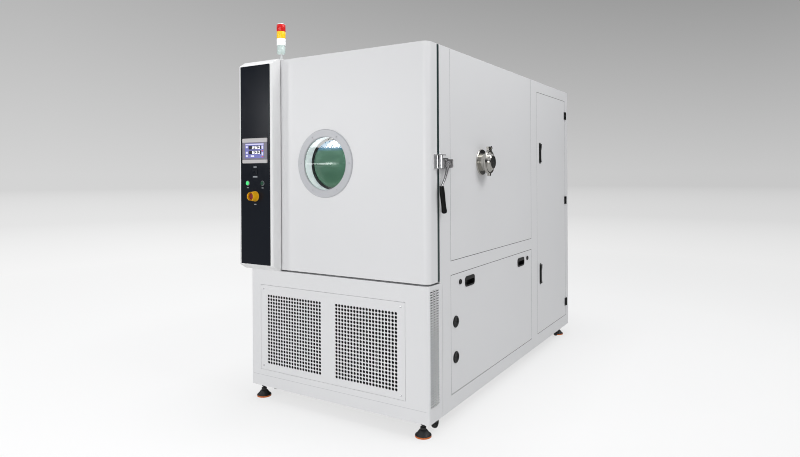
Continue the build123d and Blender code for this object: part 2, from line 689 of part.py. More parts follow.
def shelf(z):
    """Wire shelf: rod frame with cross rods."""
    half, y0, y1 = ROOM_HALF - 24, FRAME_BACK + 90, BAFFLE_Y - 60
    rod_r = SHELF_ROD
    grid = block(-half, half, y0, y0 + 2 * rod_r, z, z + 2 * rod_r)
    bars = [block(-half, half, y1 - 2 * rod_r, y1, z, z + 2 * rod_r)]
    for index in range(SHELF_BARS + 1):
        x = -half + rod_r + index * (2 * half - 2 * rod_r) / SHELF_BARS
        bars.append(block(x - rod_r, x + rod_r, y0, y1, z, z + 2 * rod_r))
    return grid + bars


def shelving():
    """Two shelves, their side runners and four slotted uprights."""
    pieces = []
    half = ROOM_HALF
    uprights = (FRAME_BACK + 150, BAFFLE_Y - 140)
    for side in (-1, 1):
        x0, x1 = sorted((side * half, side * (half - 10)))
        for y in uprights:
            strip = block(x0, x1, y - 12, y + 12, ROOM_FLOOR + 40, ROOM_TOP - 60)
            slots = [block(x0 - 1, x1 + 1, y - 5, y + 5, z, z + 12)
                     for z in (ROOM_FLOOR + 90 + step * 55 for step in range(15))]
            pieces.append(strip - slots)
        x0, x1 = sorted((side * (half - 10), side * (half - 34)))
        for z in SHELF_HEIGHTS:
            pieces.append(block(x0, x1, uprights[0] - 20, uprights[1] + 20, z - 4, z))
    pieces += [shelf(z) for z in SHELF_HEIGHTS]
    return solids_of(*pieces)


def finned_coil():
    """Finned cooling coil behind the baffle, below the fan."""
    y0, y1 = BAFFLE_Y + 60, ROOM_BACK - 40
    z0, z1 = ROOM_FLOOR, ROOM_FLOOR + 260
    half = ROOM_HALF - 60
    coil = block(-half, -half + 3, y0, y1, z0, z1) + block(half - 3, half, y0, y1, z0, z1)
    fins = 24
    parts = [rod(-half - 20, y0 + 68, z, "x", 8, 2 * half + 40) for z in (z0 + 60, z0 + 130, z0 + 200)]
    for index in range(1, fins):
        x = -half + index * 2 * half / fins
        parts.append(block(x - 0.75, x + 0.75, y0 + 6, y1 - 6, z0 + 12, z1 - 6))
    return coil + parts


def coil_and_heaters():
    """Cooling coil, and hairpin heating rods above the fan that are fixed in the right wall."""
    rods = []
    for index in range(3):
        y = BAFFLE_Y + 150 + index * 40
        z = FAN_Z + FAN_RADIUS + 60
        x0, x1, r = -ROOM_HALF + 120, ROOM_HALF, 35
        path = FilletPolyline((x1, y, z), (x0, y, z), (x0, y, z + 2 * r), (x1, y, z + 2 * r), radius=r * 0.9)
        section = Plane(origin=(x1, y, z), z_dir=(-1, 0, 0)) * Circle(6)
        rods.append(sweep(section, path))
    return solids_of(finned_coil(), *rods)


def circulation_fan():
    """Backward-curved wheel on its shaft: back plate, shroud ring, curved blades and hub."""
    y0 = BAFFLE_Y + 28
    back = y0 + FAN_DEPTH
    plate = rod(0, back - 3, FAN_Z, "y", FAN_RADIUS, 3)
    shroud = spin([(FAN_EYE, 0), (FAN_EYE + 3, 0), (FAN_EYE + 8, 10), (FAN_RADIUS, 26), (FAN_RADIUS, 29),
                   (FAN_EYE + 6, 13)], 0, y0, FAN_Z, "y")
    blades = []
    plane = frame_plane(0, back - 2, FAN_Z, "-y")
    blade_outer, blade_inner = FAN_RADIUS - 2, FAN_EYE - 25
    for index in range(FAN_BLADES):
        turn = index * 360 / FAN_BLADES
        start = Vector(blade_inner, 0).rotate(Axis.Z, turn)
        end = Vector(blade_outer, 0).rotate(Axis.Z, turn - 48)
        middle = Vector((blade_outer + blade_inner) / 2 + 8, 0).rotate(Axis.Z, turn - 19)
        arc = ThreePointArc(start, middle, end)
        blades.append(extrude(plane * trace(arc, 2.5), FAN_DEPTH - 30))
    hub = rod(0, back - 34, FAN_Z, "y", 30, 44)
    shaft = rod(0, back + 10, FAN_Z, "y", FAN_SHAFT, BOX_BACK + 24 - back)
    return plate + [shroud, *blades, hub, shaft]


def fan_motor():
    """Flanged motor on the rear of the insulated box, with cooling fins and a terminal box."""
    y0 = BOX_BACK
    flange = block(-130, 130, y0, y0 + 12, FAN_Z - 130, FAN_Z + 130)
    body = rod(0, y0 + 12, FAN_Z, "y", MOTOR_RADIUS - 12, MOTOR_LENGTH)
    fins = flange + body
    for index in range(12):
        turn = index * 30
        fin = block(-2, 2, y0 + 40, y0 + MOTOR_LENGTH - 30, FAN_Z, FAN_Z + MOTOR_RADIUS)
        fins += fin.rotate(Axis((0, 0, FAN_Z), (0, 1, 0)), turn)
    fins += rod(0, y0 + 12 + MOTOR_LENGTH, FAN_Z, "y", MOTOR_RADIUS, 46)
    fins += block(-50, 50, y0 + 60, y0 + 160, FAN_Z + MOTOR_RADIUS - 20, FAN_Z + MOTOR_RADIUS + 45)
    fins -= rod(0, y0 - 1, FAN_Z, "y", FAN_SHAFT + PIN_CLEARANCE, 40)
    return fins


def workroom_lamp():
    """Round sealed lamp on the workroom's roof, near the door."""
    profile = [(0, 0), (62, 0), (62, 14), (54, 22), (30, 34), (0, 38)]
    return spin(profile, WINDOW_X, FRAME_BACK + 60 + 62, ROOM_TOP, "-z")


# Machine room
def compressor(x, y):
    """Hermetic compressor: domed shell on a foot plate with rubber feet and a terminal box."""
    base = BOTTOM + TUBE + DECK
    r, h = COMPRESSOR_RADIUS, COMPRESSOR_HEIGHT
    shell = spin([(0, 30), (r - 20, 30), (r, 55), (r, h - 50), (r - 6, h - 25), (r - 30, h - 6), (0, h)],
                 x, y, base, "z")
    plate = block(x - r - 15, x + r + 15, y - r - 15, y + r + 15, base + 22, base + 30)
    feet = []
    for dx in (-r, r):
        for dy in (-r, r):
            feet.append(rod(x + dx, y + dy, base, "z", 16, 23))
    box = block(x + r - 12, x + r + 45, y - 45, y + 45, base + 180, base + 290)
    body = shell + plate + box
    for foot in feet:
        body += foot
    return body


def compressors():
    return solids_of(*[compressor(x, y) for x, y in COMPRESSOR_PLACES])


def condenser_line_places():
    """Where the pipes pass the fan shroud: (x, z, radius)."""
    base = BOTTOM + TUBE + DECK
    return ((CONDENSER_INLET_X, base + COMPRESSOR_HEIGHT + PIPE_RISE, PIPE_RADIUS),
            (RECEIVER_PLACE[0], base + 60, PIPE_RADIUS))


def condenser():
    """Finned condenser behind the grille with its fan shroud and two motors."""
    y0 = CONDENSER_FRONT
    y1 = y0 + CONDENSER_DEPTH
    low, high = BOTTOM + TUBE, BASE_TOP - TUBE
    left, right = LEFT + 70, RIGHT - 70
    coil = block(left, right, y0, y0 + 3, low, high)
    coil -= block(left + 20, right - 20, y0 - 1, y0 + 4, low + 20, high - 20)
    parts = [rod(left, y0 + 26, z, "x", 6, right - left) for z in (low + 90, (low + high) / 2, high - 90)]
    fins = 24
    for index in range(fins + 1):
        x = left + 10 + index * (right - left - 20) / fins
        parts.append(block(x - 1, x + 1, y0 + 3, y1, low, high))
    coil += parts
    shroud = block(left, right, y1, y1 + 60, low, high)
    shroud -= block(left + 2, right - 2, y1 - 1, y1 + 58, low + 2, high - 2)
    for x in CONDENSER_FAN_X:
        shroud -= rod(x, y1, CONDENSER_FAN_Z, "y", CONDENSER_FAN_RADIUS + 8, 80)
    for x, z, radius in condenser_line_places():
        shroud -= rod(x, y1, z, "y", radius + SEAT_GAP, 80)
    pieces = [coil, shroud]
    for x in CONDENSER_FAN_X:
        reach = CONDENSER_FAN_RADIUS + 26
        z0, z1 = CONDENSER_FAN_Z - 14, CONDENSER_FAN_Z + 14
        motor = rod(x, y1 + 66, CONDENSER_FAN_Z, "y", 46, 80)
        arms = [block(x - reach - 4, x + reach + 4, y1 + 78, y1 + 82, z0, z1)]
        for side in (-1, 1):
            arms.append(block(x + side * reach - 4, x + side * reach + 4, y1 + 60, y1 + 78, z0, z1))
        pieces.append(motor + arms - rod(x, y1 + 60, CONDENSER_FAN_Z, "y", 6 + PIN_CLEARANCE, 40))
    return solids_of(*pieces)


def condenser_fan(x):
    """Axial fan: hub and twisted blades."""
    y = CONDENSER_FRONT + CONDENSER_DEPTH + 36
    hub = rod(x, y - 18, CONDENSER_FAN_Z, "y", 38, 36)
    wheel = hub + rod(x, y, CONDENSER_FAN_Z, "y", 6, 50)
    for index in range(CONDENSER_BLADES):
        root = Plane(origin=(0, 0, 30), z_dir=(0, 0, 1)) * Rot(0, 0, 38) * Rectangle(70, 3)
        middle = Plane(origin=(0, 0, 110), z_dir=(0, 0, 1)) * Rot(0, 0, 26) * Rectangle(96, 3)
        tip = Plane(origin=(0, 0, CONDENSER_FAN_RADIUS), z_dir=(0, 0, 1)) * Rot(0, 0, 17) * Rectangle(110, 2)
        blade = loft([root, middle, tip])
        blade = blade.rotate(Axis.Y, index * 360 / CONDENSER_BLADES)
        wheel += Pos(x, y, CONDENSER_FAN_Z) * blade
    return wheel


def refrigerant_pipe(points, radius, bend):
    path = FilletPolyline(*points, radius=bend)
    direction = (Vector(*points[1]) - Vector(*points[0])).normalized()
    return sweep(Plane(origin=points[0], z_dir=direction) * Circle(radius), path)


def refrigerant_pipes():
    """Receiver and the main lines between the compressors, the condenser and the receiver."""
    x, y = RECEIVER_PLACE
    base = BOTTOM + TUBE + DECK
    r, h = RECEIVER_RADIUS, RECEIVER_HEIGHT
    receiver = spin([(0, 0), (r - 16, 0), (r, 20), (r, h - 30), (r - 16, h - 8), (0, h)], x, y, base, "z")
    (x1, y1), (x2, y2) = COMPRESSOR_PLACES
    top = base + COMPRESSOR_HEIGHT
    rise = top + PIPE_RISE
    coil_back = CONDENSER_FRONT + CONDENSER_DEPTH
    xi = CONDENSER_INLET_X
    bend = 3 * PIPE_RADIUS
    first = refrigerant_pipe([(x1, y1, top), (x1, y1, rise), (xi, y1, rise), (xi, coil_back, rise)],
                             PIPE_RADIUS, bend)
    second = refrigerant_pipe([(x2, y2, top), (x2, y2, rise), (x, y2, rise), (x, y, rise), (x, y, base + h)],
                              PIPE_RADIUS, bend)
    third = rod(x, coil_back, base + 60, "y", PIPE_RADIUS, y - r - coil_back + 0.5)
    return solids_of(receiver + third, first, second)


def control_device(x, y, z, width):
    """Control device on its rail: body and stepped front."""
    return [block(x, x + 52, y, y + width, z, z + 84), block(x + 52, x + 78, y + 4, y + width - 4, z + 18, z + 66)]


def electrical_cabinet():
    """Steel cabinet behind the electrical door: five walls and a mounting plate with rows of devices."""
    x = PLATE_X
    y0, y1 = BOX_BACK + TUBE, DEPTH - SHEET - TUBE
    z0, z1 = BOTTOM + TUBE, TOP - SHEET - TUBE
    face = RIGHT - 2 * SHEET - 1
    t = SHEET
    back = CABINET_BACK
    walls = [block(back - t, back, y0, y1, z0, z1), block(back, face, y0, y0 + t, z0, z1),
             block(back, face, y1 - t, y1, z0, z1), block(back, face, y0 + t, y1 - t, z0, z0 + t),
             block(back, face, y0 + t, y1 - t, z1 - t, z1)]
    p0, p1 = CABLE_DOOR_FRONT + PLATE_MARGIN, CABLE_DOOR_BACK - PLATE_MARGIN
    low, high = CABLE_DOOR_BOTTOM + PLATE_RISE, CABLE_DOOR_TOP - PLATE_DROP
    plate = block(x, x + PLATE_THICK, p0, p1, low, high)
    parts = []
    pitch = (high - low - 60) / DEVICE_ROWS
    for row in range(DEVICE_ROWS):
        z = low + 40 + row * pitch
        count = 7 - row % 3 * 2
        span = (p1 - p0 - 120) / count
        parts.append(block(x + 3, x + 10, p0 + 50, p1 - 50, z + 60, z + 95))
        parts.append(block(x + 3, x + 58, p0 + 20, p1 - 20, z - 30, z + 10))
        for index in range(count):
            parts += control_device(x + 9, p0 + 60 + index * span, z + 36, span - 8)
    for z in (low + 4, high - 40):
        for y in (p0, p1 - 40):
            parts.append(block(back, x, y, y + 40, z, z + 36))
    return solids_of(*walls, plate + parts)


# Test port
def test_port():
    """Stainless port through the right wall: sleeve, wall flange, clamped cap and clamp with its bolt."""
    x0, y, z = ROOM_HALF, TESTPORT_Y, TESTPORT_Z
    outer = TESTPORT_BORE + TESTPORT_WALL
    end = RIGHT + TESTPORT_OUT
    sleeve = spin([(TESTPORT_BORE, 0), (outer, 0), (outer, end - 12 - x0), (outer + 10, end - 5 - x0),
                   (outer + 10, end - x0), (TESTPORT_BORE, end - x0)], x0, y, z, "x")
    flange = spin([(outer, 0), (TESTPORT_FLANGE, 0), (TESTPORT_FLANGE, 4), (TESTPORT_FLANGE - 3, 7), (outer, 7)],
                  RIGHT, y, z, "x")
    cap = spin([(0, 0), (outer + 10, 0), (outer + 10, 5), (outer, 12), (outer - 4, CAP_OUT - TESTPORT_OUT - 6),
                (outer - 12, CAP_OUT - TESTPORT_OUT), (0, CAP_OUT - TESTPORT_OUT)], end, y, z, "x")
    half = CLAMP_WIDTH / 2
    inner = outer + 10.3
    ring = spin([(inner, -half), (CLAMP_RADIUS - 5, -half), (CLAMP_RADIUS, -half + 4), (CLAMP_RADIUS, half - 4),
                 (CLAMP_RADIUS - 5, half), (inner, half)], end, y, z, "x")
    lugs = block(end - 8, end + 8, y - LUG_HALF, y + LUG_HALF, z + inner + 3, z + CLAMP_RADIUS + LUG_RISE)
    gap = block(end - 20, end + 20, y - 6, y + 6, z + inner - 5, z + CLAMP_RADIUS + LUG_RISE + 1)
    hinge = rod(end - half, y, z - CLAMP_RADIUS - 2, "x", 9, CLAMP_WIDTH)
    clamp = ring + lugs - gap + hinge - rod(end - 30, y, z, "x", inner, 60)
    bolt = rod(end, y - LUG_HALF - 8, z + CLAMP_RADIUS + BOLT_RISE, "y", WING_BOLT, 2 * LUG_HALF + 30)
    return solids_of(sleeve + flange, cap, clamp + bolt)


def port_wing_nut():
    """Wing nut on the clamp's bolt."""
    x, y = RIGHT + TESTPORT_OUT, TESTPORT_Y + LUG_HALF + SEAT_GAP
    z = TESTPORT_Z + CLAMP_RADIUS + BOLT_RISE
    bore, reach = WING_BOLT + PIN_CLEARANCE, WING_REACH
    hub = spin([(bore, 0), (9, 0), (7.5, 14), (bore, 14)], x, y, z, "y")
    plane = Plane(origin=(x, y, z), x_dir=(0, 0, 1), z_dir=(1, 0, 0))
    for side in (-1, 1):
        outline = plane * make_face(Polyline((side * 7, 0), (side * 9, 0), (side * reach, -9), (side * reach, -17),
                                             (side * (reach - 4), -17), (side * 7, -10), close=True))
        hub += extrude(outline, 2, both=True)
    return hub


# Electrical door
def electrical_door():
    """Folded door of the electrical cabinet, with its hinge leaves and handle dishes."""
    gap = PANEL_GAP / 2
    y0, y1 = CABLE_DOOR_FRONT + gap, CABLE_DOOR_BACK - gap
    z0, z1 = CABLE_DOOR_BOTTOM + gap, CABLE_DOOR_TOP - gap
    door = tray(y0, y1, z0, z1, RIGHT, SHEET, FOLD, 1)
    for z in SIDE_HINGE_HEIGHTS:
        door += side_hinge_half(z, (0,), -1)
    half = HANDLE_WIDTH / 2
    for z in HANDLE_HEIGHTS:
        dish = block(RIGHT, RIGHT + HANDLE_DISH, HANDLE_Y - half - 6, HANDLE_Y + half + 6,
                     z - HANDLE_LENGTH / 2 - 10, z + HANDLE_LENGTH / 2 + 10)
        door += fillet(dish.edges().filter_by(Axis.X), 14)
        x, top = handle_pivot(z)
        for y in (HANDLE_Y - half - 4, HANDLE_Y + half + 0.3):
            door += block(RIGHT + HANDLE_DISH, x + HANDLE_BOSS - 0.5, y, y + HANDLE_EAR, top - HANDLE_BOSS,
                          top + HANDLE_BOSS)
        door += rod(x, HANDLE_Y - half - 4, top, "y", HANDLE_PIN, 2 * half + 8)
    return door


def handle_pivot(z):
    """Swing handle's pivot: distance out and height."""
    return RIGHT + HANDLE_DISH + HANDLE_BOSS + SEAT_GAP, z + HANDLE_LENGTH / 2 - HANDLE_BOSS


def side_hinge_half(z, segments, side):
    """One half of a surface hinge: leaf plate and its share of the barrel."""
    x, y = RIGHT + SIDE_HINGE_OUT, SIDE_HINGE_Y
    length = SIDE_HINGE_SEGMENT
    low = z - 1.5 * length
    y0, y1 = sorted((y + side * 1.5, y + side * SIDE_HINGE_LEAF))
    leaf = block(RIGHT, RIGHT + SIDE_HINGE_PLATE, y0, y1, low, low + 3 * length)
    free = [index for index in (-1, 0, 1) if index not in segments]
    reach = SIDE_HINGE_BARREL + 0.4
    for index in free:
        bottom = z + (index - 0.5) * length
        leaf -= block(RIGHT - 1, RIGHT + 20, y - reach, y + reach, bottom - 0.3, bottom + length + 0.3)
    for index in segments:
        bottom = z + (index - 0.5) * length
        barrel = rod(x, y, bottom + 0.15, "z", SIDE_HINGE_BARREL, length - 0.3)
        y0, y1 = sorted((y, y + side * (SIDE_HINGE_BARREL + 1)))
        web = block(RIGHT, RIGHT + SIDE_HINGE_PLATE + 2, y0, y1, bottom + 0.15, bottom + length - 0.15)
        bore = rod(x, y, bottom - 1, "z", SIDE_HINGE_PIN + PIN_CLEARANCE, length + 2)
        leaf += barrel + web - bore
    return leaf - rod(x, y, low - 1, "z", SIDE_HINGE_PIN + PIN_CLEARANCE, 3 * length + 2)


def swing_handle(z):
    """Swing handle: boss on its pin at the top, waisted bar and a finger lip at the free end."""
    x, top = handle_pivot(z)
    bottom = z - HANDLE_LENGTH / 2
    x0 = RIGHT + HANDLE_DISH + SEAT_GAP
    plane = Plane(origin=(0, HANDLE_Y + HANDLE_WIDTH / 2, 0), x_dir=(1, 0, 0), z_dir=(0, -1, 0))
    bar, lip = x0 + HANDLE_BAR, x0 + HANDLE_LIP
    side = plane * make_face(Polyline((x0, top), (x + HANDLE_BOSS, top), (lip, top - 18), (bar, top - 46),
                                      (bar, bottom + 26), (lip, bottom), (bar, bottom), (x0 + 1, bottom + 14),
                                      (x0, bottom + 30), close=True))
    grip = extrude(side, HANDLE_WIDTH) + rod(x, HANDLE_Y - HANDLE_WIDTH / 2, top, "y", HANDLE_BOSS, HANDLE_WIDTH)
    return grip - rod(x, HANDLE_Y - HANDLE_WIDTH, top, "y", HANDLE_PIN + PIN_CLEARANCE, 2 * HANDLE_WIDTH)


# Main door
def door_block(inset, back):
    """Door leaf with rounded front edges, taken in by an inset."""
    leaf = block(LEFT + inset, RIGHT - inset, inset, back, DOOR_BOTTOM + inset, TOP - inset)
    return fillet(leaf.edges().filter_by(Axis.Z).group_by(Axis.Y)[0], DOOR_CORNER - inset)


def window_hole():
    """Cutter for the window's sleeve."""
    return rod(WINDOW_X, -1, WINDOW_Z, "y", WINDOW_RADIUS + WINDOW_SLEEVE, 2 * PLUG_FACE)


def door_shell():
    """Outer door pan: one sheet with rounded front edges, open at its back."""
    return door_block(0, DOOR_THICKNESS) - door_block(SHEET, DOOR_THICKNESS + 1) - window_hole()


def door_core():
    """Foam that fills the door pan and its raised plug."""
    half, low, high = plug_limits(LINER)
    plug = block(-half, half, DOOR_THICKNESS, PLUG_FACE - LINER, low, high)
    return door_block(SHEET, DOOR_THICKNESS) + plug - window_hole()


def plug_limits(inset):
    """Half width, bottom and top of the door's raised plug, taken in by an inset."""
    return PLUG_HALF - inset, ROOM_FLOOR + PLUG_CLEARANCE + inset, ROOM_TOP - PLUG_CLEARANCE - inset


def door_liner():
    """Stainless inner pan with the raised plug that enters the workroom's mouth."""
    y = DOOR_THICKNESS
    flat = block(LEFT + PAN_INSET, RIGHT - PAN_INSET, y, y + LINER, DOOR_BOTTOM + PAN_INSET, TOP - PAN_INSET)
    half, low, high = plug_limits(0)
    plug = block(-half, half, y, PLUG_FACE, low, high)
    half, low, high = plug_limits(LINER)
    hollow = block(-half, half, y - 1, PLUG_FACE - LINER, low, high)
    return flat + plug - hollow - window_hole()


def door_gasket():
    """Silicone bulb gasket: four lengths with mitred corners."""
    y0, y1 = DOOR_THICKNESS + LINER, FRAME_FRONT - SEAT_GAP
    x0, x1 = LEFT + GASKET_INSET, RIGHT - GASKET_INSET
    z0, z1 = DOOR_BOTTOM + GASKET_INSET, TOP - GASKET_INSET
    ring = block(x0, x1, y0, y1, z0, z1)
    ring -= block(x0 + GASKET_WIDTH, x1 - GASKET_WIDTH, y0 - 1, y1 + 1, z0 + GASKET_WIDTH, z1 - GASKET_WIDTH)
    rim = block(x0, x1, DOOR_THICKNESS, y0, z0, z1)
    rim -= block(LEFT + PAN_INSET, RIGHT - PAN_INSET, DOOR_THICKNESS - 1, y0 + 1, DOOR_BOTTOM + PAN_INSET,
                 TOP - PAN_INSET)
    return ring + rim


def window_rings():
    """Window surround: outer flange with its screws, sleeve through the door and inner flange."""
    x, z = WINDOW_X, WINDOW_Z
    sleeve_outer = WINDOW_RADIUS + WINDOW_SLEEVE
    thick = WINDOW_FLANGE_THICK
    flange = spin([(WINDOW_RADIUS, 0), (sleeve_outer, 0), (WINDOW_FLANGE, 0), (WINDOW_FLANGE, thick - 4),
                   (WINDOW_FLANGE - 5, thick), (WINDOW_RADIUS + 5, thick), (WINDOW_RADIUS, thick - 3)],
                  x, 0, z, "-y")
    sleeve = pipe(x, 0, z, "y", sleeve_outer, WINDOW_RADIUS, PLUG_FACE)
    inner = pipe(x, PLUG_FACE, z, "y", WINDOW_RADIUS + 24, WINDOW_RADIUS, 4)
    ring = flange + sleeve + inner
    for index in range(WINDOW_SCREWS):
        turn = radians(index * 360 / WINDOW_SCREWS)
        radius = (WINDOW_RADIUS + WINDOW_FLANGE) / 2
        place = (x + radius * cos(turn), -thick, z + radius * sin(turn))
        ring += rod(*place, "-y", 5.5, 3)
    for y in (OUTER_PANE_Y, INNER_PANE_Y):
        ring += pipe(x, y - 5.3, z, "y", WINDOW_RADIUS, WINDOW_RADIUS - PANE_REBATE, 5)
    return ring


def window_glass():
    """Outer and inner panes."""
    radius = WINDOW_RADIUS - SEAT_GAP
    panes = [rod(WINDOW_X, y, WINDOW_Z, "y", radius, PANE_THICK) for y in (OUTER_PANE_Y, INNER_PANE_Y)]
    return solids_of(*panes)


def door_hinge_leaf(z):
    """Door half of a hinge: side plate and the middle of the barrel."""
    x, y = HINGE_X, HINGE_BACK
    half = HINGE_SEGMENT / 2
    plate = block(LEFT - HINGE_PLATE, LEFT, 20, DOOR_THICKNESS - 3, z - 1.6 * HINGE_SEGMENT, z + 1.6 * HINGE_SEGMENT)
    web = block(x - 6, LEFT, DOOR_THICKNESS - 30, y, z - half + 0.5, z + half - 0.5)
    web -= block(LEFT - 1, LEFT + 1, DOOR_THICKNESS, y + 1, z - half, z + half)
    barrel = rod(x, y, z - half + 0.3, "z", HINGE_BARREL, HINGE_SEGMENT - 0.6)
    leaf = plate + web + barrel
    leaf -= block(LEFT - 0.6, LEFT + 20, DOOR_THICKNESS, y + 20, z - half, z + half)
    return leaf - rod(x, y, z - half - 1, "z", HINGE_PIN + PIN_CLEARANCE, HINGE_SEGMENT + 2)


def door_hinges():
    return solids_of(*[door_hinge_leaf(z) for z in HINGE_HEIGHTS])


def cabinet_hinge(z):
    """Cabinet half of a main hinge: plate, upper and lower barrels and the pin."""
    x, y = HINGE_X, HINGE_BACK
    half = HINGE_SEGMENT / 2
    length = HINGE_SEGMENT
    plate = block(LEFT - HINGE_PLATE, LEFT, FRAME_FRONT + 4, FRAME_FRONT + 78, z - 1.6 * length, z + 1.6 * length)
    body = plate
    for low in (z - half - length, z + half):
        web = block(x - 6, LEFT, y, FRAME_FRONT + 30, low, low + length)
        web -= block(LEFT - 0.6, LEFT + 1, y - 20, FRAME_FRONT + 0.3, low - 1, low + length + 1)
        barrel = rod(x, y, low, "z", HINGE_BARREL, length)
        body += web + barrel
        body -= block(LEFT - 0.6, LEFT + 20, y - 20, FRAME_FRONT + 0.3, low - 1, low + length + 1)
    return body + rod(x, y, z - half - length, "z", HINGE_PIN, 3 * length)


def cabinet_hinges():
    """Cabinet halves of the main door's hinges and of the electrical door's hinges, with their pins."""
    pieces = [cabinet_hinge(z) for z in HINGE_HEIGHTS]
    for z in SIDE_HINGE_HEIGHTS:
        pin = rod(RIGHT + SIDE_HINGE_OUT, SIDE_HINGE_Y, z - 1.5 * SIDE_HINGE_SEGMENT, "z", SIDE_HINGE_PIN,
                  3 * SIDE_HINGE_SEGMENT)
        pin += rod(RIGHT + SIDE_HINGE_OUT, SIDE_HINGE_Y, z - 1.5 * SIDE_HINGE_SEGMENT, "z",
                   SIDE_HINGE_PIN + 1, SIDE_HINGE_SEGMENT - 1)
        pin += rod(RIGHT + SIDE_HINGE_OUT, SIDE_HINGE_Y, z + 0.5 * SIDE_HINGE_SEGMENT + 1, "z",
                   SIDE_HINGE_PIN + 1, SIDE_HINGE_SEGMENT - 1)
        pieces.append(side_hinge_half(z, (-1, 1), 1) + pin)
    return solids_of(*pieces)


# Latch
def latch_keeper():
    """Keeper on the door's side face: plate, two ears and the roller between them."""
    z0, z1 = KEEPER_Z - KEEPER_HEIGHT / 2, KEEPER_Z + KEEPER_HEIGHT / 2
    plate = block(RIGHT, RIGHT + KEEPER_PLATE, KEEPER_FRONT, DOOR_THICKNESS, z0, z1)
    x0 = RIGHT + 1
    plane = Plane(origin=(0, 0, z0), x_dir=(1, 0, 0), z_dir=(0, 0, 1))
    outline = plane * make_face(Polyline((RIGHT, KEEPER_FRONT + 22), (RIGHT + KEEPER_OUT, KEEPER_FRONT + 42),
                                         (RIGHT + KEEPER_OUT, KEEPER_BACK), (x0, KEEPER_BACK),
                                         (x0, DOOR_THICKNESS), (RIGHT, DOOR_THICKNESS), close=True))
    ear = extrude(outline, 5)
    keeper = plate + ear + Pos(0, 0, KEEPER_HEIGHT - 5) * ear
    roller = rod(RIGHT + KEEPER_OUT / 2 + 2, ROLLER_Y, z0, "z", ROLLER_RADIUS, KEEPER_HEIGHT)
    return keeper + roller


def latch_base():
    """Latch body on the cabinet: foot plate, cast cover with a nose to the rear, two cheeks and the pivot pin."""
    x = RIGHT
    z = LATCH_PIVOT_Z
    boss = LEVER_BOSS_LENGTH / 2
    plate = fillet(block(x, x + 5, LATCH_BODY_FRONT, LATCH_BODY_BACK - 30, z - 30, z + 30)
                   .edges().filter_by(Axis.X), 10)
    cheek = frame_plane(x, LATCH_PIVOT_Y - boss - 7, z, "y")
    side = cheek * make_face(Polyline((0, 26), (0, -26), (LATCH_PIVOT_OUT + 4, -14), (LATCH_PIVOT_OUT + 16, 0),
                                      (LATCH_PIVOT_OUT + 8, 18), close=True))
    front = extrude(side, 6.5)
    rear = Pos(0, 2 * boss + 7.5, 0) * front
    steps = ((22, boss + 6.5, 0, 44, 46), (17, boss + 36, 1, 34, 34),
             (7, LATCH_BODY_BACK - LATCH_PIVOT_Y, -6, 14, 12))
    nose = loft([Plane(origin=(x + out, LATCH_PIVOT_Y + along, z + up), x_dir=(1, 0, 0), z_dir=(0, 1, 0))
                 * Rectangle(width, height) for out, along, up, width, height in steps])
    pin = rod(x + LATCH_PIVOT_OUT, LATCH_PIVOT_Y - boss - 9, z, "y", LATCH_PIN, 2 * boss + 18)
    striker = block(x + 3, x + 14, LATCH_BODY_FRONT, LATCH_PIVOT_Y - boss - 3, z - 12, z + 12)
    return plate + front + rear + nose + pin + striker


def grip_direction():
    """Unit vector down the grip."""
    return Vector(0, GRIP_BOTTOM_Y - GRIP_TOP_Y, GRIP_BOTTOM_Z - GRIP_TOP_Z).normalized()


def grip_tang():
    """Round tang that carries the grip."""
    start = (RIGHT + LATCH_PIVOT_OUT, GRIP_TOP_Y, GRIP_TOP_Z)
    return extrude(Plane(origin=start, x_dir=(1, 0, 0), z_dir=grip_direction()) * Circle(TANG_RADIUS), TANG_LENGTH)


def lever_path():
    """Curved neck of the lever, from the boss to the grip."""
    x = RIGHT + LATCH_PIVOT_OUT
    return Spline((x, LATCH_PIVOT_Y, LATCH_PIVOT_Z - 8), (x + 1, LATCH_PIVOT_Y - 10, LATCH_PIVOT_Z - 48),
                  (x, GRIP_TOP_Y + 20, GRIP_TOP_Z + 36), (x, GRIP_TOP_Y, GRIP_TOP_Z),
                  tangents=((0, -0.1, -1), tuple(grip_direction())))


def latch_lever():
    """Cast lever: boss on the pivot pin and the curved neck that carries the grip."""
    x = RIGHT + LATCH_PIVOT_OUT
    boss = LEVER_BOSS_LENGTH / 2
    hub = rod(x, LATCH_PIVOT_Y - boss, LATCH_PIVOT_Z, "y", LEVER_BOSS, 2 * boss)
    path = lever_path()
    sections = []
    for part, width, depth in ((0, 18, 16), (0.45, 15, 11), (1, 13, 11)):
        plane = Plane(origin=path @ part, x_dir=(0, 1, 0), z_dir=path % part)
        sections.append(plane * RectangleRounded(width, depth, 4))
    neck = loft(sections)
    return hub + neck + grip_tang() - rod(x, LATCH_PIVOT_Y - boss - 1, LATCH_PIVOT_Z, "y",
                                   LATCH_PIN + PIN_CLEARANCE, 2 * boss + 2)


def latch_grip():
    """Moulded grip: swelling round handle with a rounded end."""
    x = RIGHT + LATCH_PIVOT_OUT
    start = Vector(x, GRIP_TOP_Y, GRIP_TOP_Z)
    length = (Vector(x, GRIP_BOTTOM_Y, GRIP_BOTTOM_Z) - start).length
    direction = grip_direction()
    r = GRIP_RADIUS
    plane = Plane(origin=start, x_dir=(1, 0, 0), z_dir=direction)
    profile = Plane(origin=start, x_dir=(1, 0, 0), z_dir=-plane.y_dir)
    outline = profile * (Line((0, 0), (r - 4, 0)) + Spline((r - 4, 0), (r - 1, length * 0.35),
                         (r - 2, length * 0.6), (r, length * 0.9))
                         + Spline((r, length * 0.9), (r * 0.7, length * 0.985), (0, length)) + Line((0, length), (0, 0)))
    grip = revolve(make_face(outline), Axis(start, direction))
    return grip - grip_tang()


